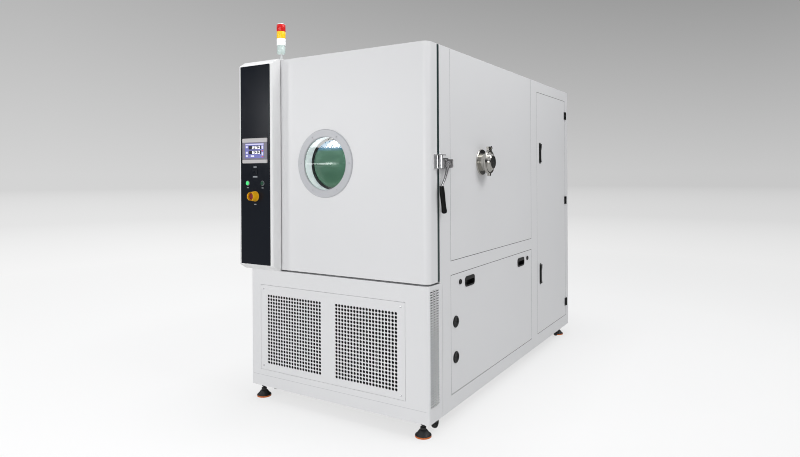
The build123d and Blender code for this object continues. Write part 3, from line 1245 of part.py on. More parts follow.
# Console
def console_housing():
    """Console box on the door: chamfered ends, rounded outer edges, open at its back."""
    depth, c_d, c_h = CONSOLE_OUT, CONSOLE_CHAMFER_DEPTH, CONSOLE_CHAMFER_HEIGHT
    plane = Plane(origin=(CONSOLE_LEFT, 0, 0), x_dir=(0, 1, 0), z_dir=(1, 0, 0))
    outline = [(0, CONSOLE_BOTTOM), (-depth + c_d, CONSOLE_BOTTOM), (-depth, CONSOLE_BOTTOM + c_h),
               (-depth, CONSOLE_TOP - c_h), (-depth + c_d, CONSOLE_TOP), (0, CONSOLE_TOP)]
    outer = extrude(plane * make_face(Polyline(*outline, close=True)), CONSOLE_WIDTH)
    outer = fillet(outer.edges().filter_by(Axis.Z), CONSOLE_EDGE)
    t = CONSOLE_SHEET
    hollow = block(CONSOLE_LEFT + t, CONSOLE_RIGHT - t, -depth + t, 1, CONSOLE_BOTTOM + c_h, CONSOLE_TOP - c_h)
    hollow = fillet(hollow.edges().filter_by(Axis.Z).group_by(Axis.Y)[0], CONSOLE_EDGE - t)
    window = block(FASCIA_X - TERMINAL_WIDTH / 2 - 4, FASCIA_X + TERMINAL_WIDTH / 2 + 4, -depth - 1, -depth + t + 1,
                   SCREEN_Z - TERMINAL_HEIGHT / 2 - 4, SCREEN_Z + TERMINAL_HEIGHT / 2 + 4)
    lower = block(FASCIA_X - 90, FASCIA_X + 90, -depth - 1, -depth + t + 1, STOP_Z - 40, PORT_Z + 25)
    return outer - hollow - window - lower


def button_place(side):
    return FASCIA_X + side * BUTTON_SPACING / 2


def console_fascia():
    """Black fascia plate with the data port and the fixed bodies of the buttons."""
    half = FASCIA_WIDTH / 2
    plate = block(FASCIA_X - half, FASCIA_X + half, FASCIA_FACE, -CONSOLE_OUT, FASCIA_BOTTOM, FASCIA_TOP)
    plate = fillet(plate.edges().filter_by(Axis.Y), 4)
    plate -= block(FASCIA_X - TERMINAL_WIDTH / 2, FASCIA_X + TERMINAL_WIDTH / 2, FASCIA_FACE - 1, -CONSOLE_OUT + 1,
                   SCREEN_Z - TERMINAL_HEIGHT / 2, SCREEN_Z + TERMINAL_HEIGHT / 2)
    port = block(FASCIA_X - PORT_WIDTH / 2, FASCIA_X + PORT_WIDTH / 2, FASCIA_FACE - 6, FASCIA_FACE,
                 PORT_Z - PORT_HEIGHT / 2, PORT_Z + PORT_HEIGHT / 2)
    port = fillet(port.edges().group_by(Axis.Y)[0], 3)
    port -= block(FASCIA_X - 7, FASCIA_X + 7, FASCIA_FACE - 7, FASCIA_FACE - 1, PORT_Z - 3, PORT_Z + 3)
    plate += port
    for side in (-1, 1):
        x = button_place(side)
        plate += rod(x, FASCIA_FACE + 1, BUTTON_Z, "y", BUTTON_BODY + 3, BUTTON_DEPTH)
        plate += spin([(BUTTON_CAP, 0), (BUTTON_RING, 0), (BUTTON_RING, 1.5), (BUTTON_RING - 2, 4), (BUTTON_CAP, 4)],
                      x, FASCIA_FACE, BUTTON_Z, "-y")
        plate -= rod(x, FASCIA_FACE - 5, BUTTON_Z, "y", BUTTON_CAP + 0.3, 5 + BUTTON_TRAVEL + 1)
        plate -= rod(x, FASCIA_FACE, BUTTON_Z, "y", BUTTON_STEM + PIN_CLEARANCE, BUTTON_DEPTH - 6)
    plate += rod(FASCIA_X, FASCIA_FACE + 1, STOP_Z, "y", 17, BUTTON_DEPTH)
    plate -= rod(FASCIA_X, FASCIA_FACE - 1, STOP_Z, "y", 8 + PIN_CLEARANCE, BUTTON_DEPTH - 4)
    return plate


def push_button(side):
    """Moving cap of a round button with its stem."""
    x = button_place(side)
    face = FASCIA_FACE - BUTTON_OUT
    cap = spin([(0, 0), (BUTTON_CAP - 2.5, 0), (BUTTON_CAP, -1.5), (BUTTON_CAP, -BUTTON_OUT), (0, -BUTTON_OUT)],
               x, face, BUTTON_Z, "-y")
    return cap + rod(x, FASCIA_FACE - 1, BUTTON_Z, "y", BUTTON_STEM, BUTTON_DEPTH - 12)


def estop_guard():
    """Yellow shroud round the emergency stop, notched above and below."""
    r = STOP_GUARD
    profile = [(r - 9, 0), (r + 2, 0), (r + 2, 3), (r, 6), (r - 2, STOP_GUARD_OUT - 3), (r - 4, STOP_GUARD_OUT),
               (r - 6, STOP_GUARD_OUT - 3), (r - 6, 6), (r - 9, 4)]
    shroud = spin(profile, FASCIA_X, FASCIA_FACE, STOP_Z, "-y")
    half = STOP_NOTCH / 2
    return shroud - block(FASCIA_X - half, FASCIA_X + half, STOP_FACE - 1, STOP_FACE + STOP_NOTCH,
                          STOP_Z - 2 * r, STOP_Z + 2 * r)


def estop_button():
    """Mushroom head with its stem."""
    r = STOP_HEAD
    depth = STOP_RISE
    profile = [(0, 0), (8, 0), (8, depth - 22), (13, depth - 20), (r, depth - 12), (r, depth - 8), (r - 3, depth - 3),
               (r - 9, depth), (0, depth)]
    head = spin(profile, FASCIA_X, FASCIA_FACE, STOP_Z, "-y")
    return head + rod(FASCIA_X, FASCIA_FACE, STOP_Z, "y", 8, BUTTON_DEPTH - 12)


def hmi_bezel():
    """Touch panel: raised frame on the fascia and the terminal's body behind it."""
    w, h = BEZEL_WIDTH / 2, BEZEL_HEIGHT / 2
    frame = block(FASCIA_X - w, FASCIA_X + w, FASCIA_FACE - BEZEL_OUT, FASCIA_FACE, SCREEN_Z - h, SCREEN_Z + h)
    frame = fillet(frame.edges().filter_by(Axis.Y), 6)
    frame = chamfer(frame.faces().sort_by(Axis.Y)[0].edges(), 1.5)
    w, h = TERMINAL_WIDTH / 2 - 1, TERMINAL_HEIGHT / 2 - 1
    body = block(FASCIA_X - w, FASCIA_X + w, FASCIA_FACE, FASCIA_FACE + TERMINAL_DEPTH, SCREEN_Z - h, SCREEN_Z + h)
    w, h = SCREEN_WIDTH / 2, SCREEN_HEIGHT / 2
    recess = block(FASCIA_X - w, FASCIA_X + w, FASCIA_FACE - BEZEL_OUT - 1, FASCIA_FACE - BEZEL_OUT + 3,
                   SCREEN_Z - h, SCREEN_Z + h)
    return frame + body - recess


def hmi_screen():
    w, h = SCREEN_WIDTH / 2, SCREEN_HEIGHT / 2
    face = FASCIA_FACE - BEZEL_OUT
    return block(FASCIA_X - w, FASCIA_X + w, face + 1, face + 3, SCREEN_Z - h, SCREEN_Z + h)


# Tower light
def tower_levels():
    """Heights of the tower's steps, from the door's top up."""
    foot = TOP
    pole = foot + TOWER_FOOT
    body = foot + TOWER_FOOT + TOWER_POLE_HEIGHT
    white = body + TOWER_BODY
    return foot, pole, body, white, white + TOWER_LENS, white + 2 * TOWER_LENS, white + 3 * TOWER_LENS


def tower_body():
    """Foot, pole, drum, white lens and cap of the tower light."""
    foot, pole, body, white, _, _, cap = tower_levels()
    r = TOWER_RADIUS
    x, y = TOWER_X, TOWER_Y
    base = spin([(0, foot), (r, foot), (r, foot + 5), (r - 12, foot + 10), (TOWER_POLE + 4, pole), (0, pole)],
                x, y, 0, "z")
    post = rod(x, y, pole, "z", TOWER_POLE, TOWER_POLE_HEIGHT)
    drum = spin([(0, body), (TOWER_POLE + 6, body), (r - 3, body + 8), (r - 3, white), (0, white)], x, y, 0, "z")
    core = rod(x, y, white, "z", 6, cap - white)
    return base + post + drum + core + tower_cap(x, y, cap)


def tower_cap(x, y, level):
    r = TOWER_RADIUS - 1
    return spin([(0, 0), (r, 0), (r, 2), (r - 8, TOWER_CAP - 1), (0, TOWER_CAP)], x, y, level, "z")


def tower_lens(level):
    """Ribbed lens ring that stacks on the one below."""
    r = TOWER_RADIUS
    low, high = level + 0.3, level + TOWER_LENS - 0.3
    profile = [(6.3, low), (r - 3, low), (r, low + 3), (r, high - 3), (r - 3, high), (6.3, high)]
    return spin(profile, TOWER_X, TOWER_Y, 0, "z")


NODES = {
    "base_frame": base_frame, "levelling_feet": levelling_feet, "castor_mounts": castor_mounts,
    "castor_fork_left": lambda: castor_swivel(-CASTOR_X), "castor_fork_right": lambda: castor_swivel(CASTOR_X),
    "castor_wheel_front_left": lambda: castor_wheel(-CASTOR_X, CASTOR_PLACES[0]),
    "castor_wheel_front_right": lambda: castor_wheel(CASTOR_X, CASTOR_PLACES[0]),
    "castor_wheel_rear_left": lambda: castor_wheel(-CASTOR_X, CASTOR_PLACES[1]),
    "castor_wheel_rear_right": lambda: castor_wheel(CASTOR_X, CASTOR_PLACES[1]),
    "base_front_casing": base_front_casing, "front_grille": front_grille, "side_skins": side_skins,
    "side_panels": side_panels, "panel_fittings": panel_fittings, "roof_panel": roof_panel,
    "rear_panel": rear_panel, "panel_lock_front": lambda: panel_lock(LOCK_PLACES[0]),
    "panel_lock_rear": lambda: panel_lock(LOCK_PLACES[1]),
    "door_frame": door_frame, "insulation": insulation, "workroom_liner": workroom_liner,
    "air_baffle": air_baffle, "shelving": shelving, "coil_and_heaters": coil_and_heaters,
    "circulation_fan": circulation_fan, "fan_motor": fan_motor,
    "workroom_lamp": workroom_lamp, "compressors": compressors, "condenser": condenser,
    "condenser_fan_left": lambda: condenser_fan(CONDENSER_FAN_X[0]),
    "condenser_fan_right": lambda: condenser_fan(CONDENSER_FAN_X[1]),
    "refrigerant_pipes": refrigerant_pipes, "electrical_cabinet": electrical_cabinet,
    "test_port": test_port, "port_wing_nut": port_wing_nut, "cabinet_hinges": cabinet_hinges,
    "latch_base": latch_base, "electrical_door": electrical_door,
    "swing_handle_upper": lambda: swing_handle(HANDLE_HEIGHTS[0]),
    "swing_handle_lower": lambda: swing_handle(HANDLE_HEIGHTS[1]),
    "door_shell": door_shell, "door_core": door_core, "door_liner": door_liner, "door_gasket": door_gasket,
    "window_rings": window_rings, "window_glass": window_glass, "door_hinges": door_hinges,
    "latch_keeper": latch_keeper, "latch_lever": latch_lever, "latch_grip": latch_grip,
    "console_housing": console_housing, "console_fascia": console_fascia, "hmi_bezel": hmi_bezel,
    "hmi_screen": hmi_screen, "estop_guard": estop_guard, "estop_button": estop_button,
    "start_button": lambda: push_button(-1), "stop_button": lambda: push_button(1),
    "tower_body": tower_body,
    "tower_lenses": lambda: solids_of(*[tower_lens(level) for level in tower_levels()[3:6]]),
}


def build():
    os.makedirs("parts", exist_ok=True)
    for name, make in NODES.items():
        shape = make()
        if isinstance(shape, ShapeList):
            shape = Compound(children=list(shape))
        export_step(Pos(*SHIFT) * shape, f"parts/{name}.step")


if __name__ == "__main__":
    build()
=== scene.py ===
import bpy
import bmesh
from math import cos, sin, pi, radians
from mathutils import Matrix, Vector

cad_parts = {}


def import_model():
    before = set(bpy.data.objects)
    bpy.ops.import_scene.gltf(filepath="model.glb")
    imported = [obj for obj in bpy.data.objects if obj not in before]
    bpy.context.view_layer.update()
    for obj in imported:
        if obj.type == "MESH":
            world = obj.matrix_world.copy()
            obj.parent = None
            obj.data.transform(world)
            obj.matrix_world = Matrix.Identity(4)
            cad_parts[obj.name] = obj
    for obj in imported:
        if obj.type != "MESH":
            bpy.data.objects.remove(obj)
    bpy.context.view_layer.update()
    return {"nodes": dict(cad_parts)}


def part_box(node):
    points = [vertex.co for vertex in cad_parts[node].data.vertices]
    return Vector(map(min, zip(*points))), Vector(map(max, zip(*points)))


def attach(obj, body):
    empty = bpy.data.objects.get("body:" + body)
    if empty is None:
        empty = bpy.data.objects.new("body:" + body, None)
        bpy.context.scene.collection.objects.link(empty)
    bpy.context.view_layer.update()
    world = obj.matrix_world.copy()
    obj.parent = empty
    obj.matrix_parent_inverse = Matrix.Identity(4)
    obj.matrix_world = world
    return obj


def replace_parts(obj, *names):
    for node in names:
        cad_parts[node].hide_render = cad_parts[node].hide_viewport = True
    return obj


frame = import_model()
NODES = frame["nodes"]

# The part's own places, in millimetres: X from mid-width, Y back from the door's face, Z from the floor
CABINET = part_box("side_skins")
MIDDLE_X = round((CABINET[0].x + CABINET[1].x) / 2 * 1000, 2)
DOOR_Y = round(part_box("door_shell")[0].y * 1000, 2)


def at(x, y, z):
    """Point of the frame, in metres, for a place of the part."""
    return Vector(((x + MIDDLE_X) / 1000, (y + DOOR_Y) / 1000, z / 1000))


def corners(node):
    """A node's lowest and highest corner, as places of the part."""
    starts = (MIDDLE_X, DOOR_Y, 0)
    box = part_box(node)
    return [[round(value * 1000 - start, 3) for value, start in zip(corner, starts)] for corner in box]


def middle(node):
    """The middle of a node's box, as a place of the part."""
    return [round((low + high) / 2, 2) for low, high in zip(*corners(node))]


# Places read from the solids
RIGHT, _, TOP = corners("roof_panel")[1]
FASCIA_X = middle("console_fascia")[0]
FASCIA_THICK = 3.0
FASCIA_FACE = corners("console_housing")[0][1] - FASCIA_THICK
SCREEN_LEFT, SCREEN_FACE, SCREEN_BOTTOM = corners("hmi_screen")[0]
SCREEN_Z = middle("hmi_screen")[2]
BUTTON_Z = middle("start_button")[2]
TOWER_X, TOWER_Y, _ = middle("tower_lenses")

# Window in the door: flange, rebate of the green pane, clear front pane
FLANGE_RADIUS = 198.0
FLANGE_FACE = -9.0
SCREW_CIRCLE = 175.5
WINDOW_SCREWS = 6
TUNNEL_START = 1.5
SEAL = (65.0, 73.0)
FRONT_PANE_RADIUS = 152.5
FRONT_PANE_Y = 2.0
FRONT_PANE_THICK = 4.0
WINDOW_X = corners("window_rings")[1][0] - FLANGE_RADIUS
WINDOW_Z = middle("window_rings")[2]

# Tower light, slimmer than its solids
TOWER_RADIUS = 27.0
POLE_RADIUS = 9.5
DRUM_BOTTOM = TOP + 44
LENS_BOTTOM = TOP + 100
LENS_STEP = 43.0
LENSES = 3

# Grille of the base: two fields of round holes, each (first hole's X, pitch)
GRILLE_SHEET = 1.6
FIELDS = ((-491.0, 21.1), (31.0, 21.1))
HOLE_RADIUS = 8.3
HOLE_SIDES = 12
HOLE_ROWS = 21
HOLE_COLUMNS = 20
ROW_START = 232.0
ROW_PITCH = 20.4
GRILLE_SCREWS = ((-531.0, 681.0), (461.0, 678.0), (-531.0, 207.0), (461.0, 207.0))
CREASE_Z = (146.3, 147.8)
CREASE_INSET = 18.0

# Side vents: heights and depths of ribs and of the sheets of painted shade behind the slots
RIB_PLACES = (45.3, 76.7)
RIB_WIDTH = 9.0
RIB_HEIGHTS = (160.0, 777.0)
SHADE_SHEET_HEIGHTS = (155.0, 782.0)
SHADE_SHEET_FRONT, SHADE_SHEET_MIDDLE, SHADE_SHEET_BACK = 8.0, 45.0, 114.0
SHADE_SHEET_INSET = (2.1, 3.0)

# Openings of the side sheets, as (front, back, bottom, top)
UPPER_PANEL = (250.0, 1565.0, 904.0, TOP - 2)
LOWER_PANEL = (250.0, 1565.0, 163.0, 824.0)
CABLE_DOOR = (1697.0, 2423.0, 168.0, 2000.0)
JOINT_DEPTH = 1.2
JOINT_PROUD = 0.12
LEVEL_JOINT_HALF = 1.4
UPRIGHT_JOINT_HALF = 0.9

# Display: boxes (left, bottom, right, top) from the screen's lower left corner
HEADER_BOX = (3, 80, 153, 87)
FIELD_BOX = (3, 3, 153, 78)
READOUT_BOXES = [(30, 53, 134, 76), (30, 24, 134, 46)]
KEY_BOXES = [(6, 8, 22, 20), (6, 28, 22, 40), (6, 62, 22, 74), (138, 54, 151, 74), (48, 7, 76, 18),
             (138, 16, 151, 34)]
MARK_BOXES = [(138, 40, 151, 46), (138, 5, 151, 11)]
LAYER_STEP = 0.12
LAYER_PROUD = 0.35
DIGIT_PROUD = 1.1
DIGIT_LEFT = 62.0
DIGIT_WIDTH = 15.0
DIGIT_ADVANCE = 1.35
STROKE_SHARE = 0.13
POINT_ADVANCE = 2.2
READOUTS = (("25.0", 56, 17), ("60.0", 27, 16))

# Blank plates on the fascia, as (X from its middle, Z, width, height)
PLATES = ((0, 1433, 26, 7), (-61, 1307, 15, 5), (61, 1307, 15, 5), (0, 1207, 18, 5), (0, 1374, 36, 8))


def srgb(r, g, b):
    """Linear colour from 0 to 255 values as a screen shows them."""
    values = [v / 255 for v in (r, g, b)]
    return tuple([v / 12.92 if v <= 0.04045 else ((v + 0.055) / 1.055) ** 2.4 for v in values] + [1])


def grey(level):
    return srgb(level, level, level)


# Node trees
class Tree:
    """Node tree, with short calls for the nodes that are used again and again."""

    def __init__(self, tree):
        self.tree = tree

    def node(self, kind, **facts):
        made = self.tree.nodes.new(kind)
        for key, value in facts.items():
            setattr(made, key, value)
        return made

    def link(self, a, b):
        self.tree.links.new(a, b)

    def give(self, value, socket):
        """Sets a socket to a plain value, or links it to another node's output."""
        if isinstance(value, (int, float, tuple)):
            socket.default_value = value
        else:
            self.link(value, socket)

    def math(self, operation, a, b):
        made = self.node("ShaderNodeMath", operation=operation)
        self.give(a, made.inputs[0])
        self.give(b, made.inputs[1])
        return made.outputs[0]

    def mix(self, factor, a, b):
        """Colour between a and b."""
        made = self.node("ShaderNodeMix", data_type="RGBA")
        for value, socket in ((factor, made.inputs[0]), (a, made.inputs[6]), (b, made.inputs[7])):
            self.give(value, socket)
        return made.outputs[2]

    def mix_shaders(self, factor, a, b):
        made = self.node("ShaderNodeMixShader")
        for value, socket in zip((factor, a, b), made.inputs):
            self.link(value, socket)
        return made.outputs[0]

    def scaled(self, value, low, high, start=0.0, end=1.0):
        """The value's share of the way from low to high, taken to the range from start to end."""
        made = self.node("ShaderNodeMapRange")
        for name, number in (("From Min", low), ("From Max", high), ("To Min", start), ("To Max", end)):
            made.inputs[name].default_value = number
        self.link(value, made.inputs["Value"])
        return made.outputs[0]

    def ramp(self, value, stops):
        """Colour ramp through stops of (place, colour)."""
        made = self.node("ShaderNodeValToRGB")
        elements = made.color_ramp.elements
        first, *between, last = stops
        elements[0].position, elements[0].color = first
        elements[1].position, elements[1].color = last
        for place, colour in between:
            elements.new(place).color = colour
        self.link(value, made.inputs[0])
        return made.outputs[0]


class Maker(Tree):
    """One material: its principled shader and the object coordinates, in metres."""

    def __init__(self, name):
        self.material = bpy.data.materials.new(name)
        self.material.use_nodes = True
        super().__init__(self.material.node_tree)
        self.shader = self.tree.nodes["Principled BSDF"]
        self.coords = self.node("ShaderNodeTexCoord").outputs["Object"]
        split = self.node("ShaderNodeSeparateXYZ")
        self.link(self.coords, split.inputs[0])
        self.axes = dict(zip("xyz", split.outputs))

    def paint(self, colour):
        self.give(colour, self.shader.inputs["Base Color"])

    def light(self, colour, strength):
        """Gives the surface a glow."""
        self.give(colour, self.shader.inputs["Emission Color"])
        self.shader.inputs["Emission Strength"].default_value = strength
        return self

    def set(self, **values):
        for key, value in values.items():
            self.shader.inputs[key.replace("_", " ")].default_value = value
        return self

    def noise(self, scale, detail=3, stretch=(1, 1, 1)):
        mapping = self.node("ShaderNodeMapping")
        mapping.inputs["Scale"].default_value = stretch
        self.link(self.coords, mapping.inputs["Vector"])
        noise = self.node("ShaderNodeTexNoise")
        noise.inputs["Scale"].default_value = scale
        noise.inputs["Detail"].default_value = detail
        self.link(mapping.outputs[0], noise.inputs["Vector"])
        return noise.outputs["Fac"]

    def beyond(self, axis, place):
        """1 where the place on an axis is greater than a value."""
        return self.math("GREATER_THAN", self.axes[axis], place)

    def before(self, axis, place):
        """1 where the place on an axis is less than a value."""
        return self.math("LESS_THAN", self.axes[axis], place)

    def between(self, axis, low, high):
        """1 where the place on an axis lies between two values."""
        return self.math("MULTIPLY", self.beyond(axis, low), self.before(axis, high))

    def varied(self, colour, scale, amount, stretch=(1, 1, 1)):
        """The colour with a faint cloudy variation."""
        dark = tuple([v * (1 - amount) for v in colour[:3]] + [1])
        return self.mix(self.noise(scale, 4, stretch), dark, colour)

    def relief(self, height, strength, distance):
        """Bump from a height."""
        made = self.node("ShaderNodeBump")
        made.inputs["Strength"].default_value = strength
        made.inputs["Distance"].default_value = distance
        self.link(height, made.inputs["Height"])
        self.link(made.outputs[0], self.shader.inputs["Normal"])

    def bump(self, scale, strength, distance=0.0005, stretch=(1, 1, 1)):
        self.relief(self.noise(scale, 2, stretch), strength, distance)

    def rough(self, scale, low, high, stretch=(1, 1, 1)):
        """Roughness that wanders between two values."""
        wander = self.scaled(self.noise(scale, 3, stretch), 0, 1, low, high)
        self.link(wander, self.shader.inputs["Roughness"])


# Kinds of material
def coat(m, low=0.34, high=0.44):
    """Cloudy gloss and faint orange peel of a powder coat."""
    m.rough(7, low, high)
    m.bump(420, 0.05)
    return m


def painted(name, colour, amount=0.035, **gloss):
    """Powder-coated sheet."""
    m = Maker(name)
    m.paint(m.varied(colour, 2.3, amount))
    return coat(m, **gloss)


def metal(name, colour, low, high, stretch=(1, 1, 1), scale=60, bump=0.12, metallic=1.0):
    """Metal with brushed or cast grain."""
    m = Maker(name)
    m.paint(m.varied(colour, scale * 0.5, 0.18, stretch))
    m.set(Metallic=metallic)
    m.rough(scale, low, high, stretch)
    m.bump(scale * 4, bump, 0.0003, stretch)
    return m


def plastic(name, colour, low=0.3, high=0.45, amount=0.12, grain=900, bump=0.1, gloss=0.5):
    """Moulded plastic or rubber with a fine grain."""
    m = Maker(name)
    m.paint(m.varied(colour, 30, amount))
    m.rough(50, low, high)
    m.bump(grain, bump, 0.0002)
    return m.set(Specular_IOR_Level=gloss)


# Materials of the cabinet
CASING = srgb(227, 227, 228)
BRUSHED = (1, 1, 14)
TURNED = (14, 1, 1)

PAINT = painted("cabinet_paint", CASING)
CONSOLE_PAINT = painted("console_paint", grey(236), amount=0.02)
INNER_PAINT = painted("inner_paint", srgb(190, 192, 195), amount=0.08)
FRAME_PAINT = painted("frame_paint", srgb(206, 207, 209), amount=0.08)
MOTOR = painted("motor_casting", srgb(82, 96, 112), amount=0.2)
COMPRESSOR = painted("compressor_enamel", srgb(20, 20, 23), amount=0.2, low=0.12, high=0.25)
STEEL = metal("brushed_stainless", srgb(196, 198, 200), 0.22, 0.34, stretch=BRUSHED, scale=40)
PORT_STEEL = metal("turned_stainless", srgb(190, 188, 182), 0.1, 0.24, stretch=TURNED)
BRIGHT = metal("bright_plating", srgb(232, 232, 234), 0.08, 0.2, scale=30, metallic=0.72)
CAST = metal("cast_plating", srgb(176, 175, 176), 0.1, 0.3, scale=55, bump=0.4, metallic=0.85)
FINS = metal("fin_stock", srgb(188, 190, 193), 0.3, 0.45, scale=50)
COPPER = metal("copper_tube", srgb(190, 118, 82), 0.2, 0.4)
# Condenser: very dark, partly its own colour and partly painted shade for the dark inside seen through the
# grille holes.
CONDENSER_WITH_SHADE = plastic("condenser_dark_and_shade", srgb(22, 22, 24), 0.5, 0.65)
BLACK = plastic("black_plastic", srgb(9, 9, 10), gloss=0.25)
BLACK_STEEL = plastic("black_coated_steel", srgb(10, 10, 11), 0.25, 0.4, gloss=0.3)
GRIP = plastic("grip_rubber", srgb(6, 6, 7), 0.5, 0.65, amount=0.2, grain=600, bump=0.3, gloss=0.2)
RUBBER = plastic("castor_rubber", srgb(26, 26, 27), 0.5, 0.7, amount=0.2, grain=500, bump=0.3)
SILICONE = plastic("door_seal_silicone", srgb(2, 40, 42), amount=0.3, grain=300, bump=0.25)
FOAM = plastic("cabinet_foam", srgb(226, 212, 166), 0.8, 0.95, amount=0.15, grain=260, bump=0.6)
YELLOW = plastic("guard_yellow", srgb(255, 188, 24), 0.25, 0.35, amount=0.08)
RED = plastic("mushroom_red", srgb(122, 12, 18), 0.2, 0.3)


def fascia_material():
    """Black acrylic plate, with the grey rings of the two buttons that stand on it."""
    ring_reach = 35
    m = Maker("console_acrylic")
    raised = m.before("y", at(0, FASCIA_FACE - 0.4, 0).y)
    level = m.between("z", (BUTTON_Z - ring_reach) / 1000, (BUTTON_Z + ring_reach) / 1000)
    rings = m.math("MULTIPLY", raised, level)
    m.paint(m.mix(rings, m.varied(srgb(16, 21, 30), 3, 0.12), srgb(120, 122, 126)))
    m.set(Specular_IOR_Level=0.17)
    m.rough(12, 0.16, 0.24)
    m.bump(500, 0.02, 0.0002)
    return m


def bezel_material():
    """Panel frame: pale bands above and below, darker band round the display."""
    below, above = 55, 51
    m = Maker("panel_bezel")
    band = m.between("z", (SCREEN_Z - below) / 1000, (SCREEN_Z + above) / 1000)
    m.paint(m.mix(band, m.varied(srgb(196, 193, 194), 20, 0.05), m.varied(srgb(122, 119, 132), 20, 0.08)))
    m.rough(40, 0.35, 0.45)
    m.bump(800, 0.08, 0.0002)
    return m


def foot_material():
    """Black foot whose lowest ring is orange."""
    ring_top = 8.5
    m = Maker("foot_rubber")
    ring = m.before("z", ring_top / 1000)
    m.paint(m.mix(ring, m.varied(srgb(26, 26, 27), 40, 0.2), m.varied(srgb(206, 104, 34), 40, 0.15)))
    m.rough(60, 0.35, 0.5)
    m.bump(500, 0.2, 0.0003)
    return m


def side_door_material():
    """Cabinet paint, black on the handle dishes and hinge leaves that stand on it."""
    m = Maker("side_door_paint")
    proud = m.beyond("x", at(RIGHT + 0.3, 0, 0).x)
    m.paint(m.mix(proud, m.varied(CASING, 2.3, 0.035), m.varied(srgb(12, 12, 13), 30, 0.15)))
    return coat(m)


def lens_material():
    """Ribbed tower lenses: white, yellow and red by height."""
    m = Maker("tower_lens")
    white, yellow = m.varied(srgb(250, 252, 252), 60, 0.04), m.varied(srgb(250, 200, 20), 60, 0.1)
    colour = m.mix(m.beyond("z", (LENS_BOTTOM + LENS_STEP) / 1000), white, yellow)
    red = m.varied(srgb(206, 22, 20), 60, 0.12)
    colour = m.mix(m.beyond("z", (LENS_BOTTOM + 2 * LENS_STEP) / 1000), colour, red)
    m.paint(colour)
    m.light(colour, 0.25)
    wave = m.node("ShaderNodeTexWave", wave_type="BANDS", bands_direction="Z")
    wave.inputs["Scale"].default_value = 90
    m.link(m.coords, wave.inputs["Vector"])
    m.relief(wave.outputs["Fac"], 0.3, 0.0006)
    return m.set(Roughness=0.18)


def tower_material():
    """Pale plastic, with a faint green tint on the drum under the lenses."""
    m = Maker("tower_plastic")
    drum = m.between("z", DRUM_BOTTOM / 1000, (LENS_BOTTOM + 1) / 1000)
    m.paint(m.mix(drum, m.varied(srgb(232, 233, 233), 30, 0.05), m.varied(srgb(206, 222, 218), 30, 0.08)))
    m.rough(40, 0.22, 0.32)
    m.bump(700, 0.05, 0.0002)
    return m


def window_material():
    """Satin aluminium flange, pale tunnel with a faint glow of painted light, black seal where the pane sits.
    """
    m = Maker("window_aluminium")
    tunnel = m.beyond("y", at(0, TUNNEL_START, 0).y)
    seal = m.between("y", at(0, SEAL[0], 0).y, at(0, SEAL[1], 0).y)
    colour = m.mix(tunnel, m.varied(srgb(190, 191, 195), 120, 0.06), m.varied(srgb(246, 248, 249), 20, 0.03))
    m.paint(m.mix(seal, colour, srgb(3, 5, 5)))
    # Painted light: the tunnel glows though it is no lamp, standing in for light that falls into it.
    m.light(m.mix(seal, m.mix(tunnel, grey(0), srgb(190, 200, 202)), grey(0)), 0.4)
    m.rough(80, 0.3, 0.42)
    m.bump(900, 0.05, 0.0002)
    return m


def glass_material():
    """Tinted insulating glass: green, darker towards the bottom as painted shade, with a pale blue band at
    the top that is a painted reflection.
    """
    band, half = (74, 90), 150
    m = Maker("window_pane")
    # Painted reflection: the pale blue band at the top. Painted shade: the green grows darker towards the
    # bottom.
    top = m.scaled(m.axes["z"], (WINDOW_Z + band[0]) / 1000, (WINDOW_Z + band[1]) / 1000)
    shade = m.scaled(m.axes["z"], (WINDOW_Z - half) / 1000, (WINDOW_Z + half) / 1000)
    green = m.mix(shade, srgb(70, 108, 84), srgb(104, 142, 124))
    m.paint(m.mix(top, green, srgb(96, 146, 176)))
    m.set(Roughness=0.04, IOR=1.5, Transmission_Weight=0.35, Coat_Weight=0.3, Coat_Roughness=0.02)
    m.bump(30, 0.02, 0.0004)
    return m


def clear_glass_material():
    m = Maker("clear_glass")
    m.paint((0.97, 1, 0.99, 1))
    m.set(Roughness=0.0, IOR=1.25, Transmission_Weight=1.0)
    m.bump(20, 0.01, 0.0002)
    return m


def lamp_glass_material():
    return plastic("lamp_glass", srgb(240, 240, 232), 0.1, 0.2, amount=0.05).light(srgb(255, 250, 235), 0.6)


def button_material(name, colour, glow):
    return plastic(name, colour, 0.15, 0.25, amount=0.1).light(colour, glow)


def screen_material():
    colour = srgb(112, 112, 176)
    return plastic("display_glass", colour, 0.1, 0.16, amount=0.06).light(colour, 0.3)


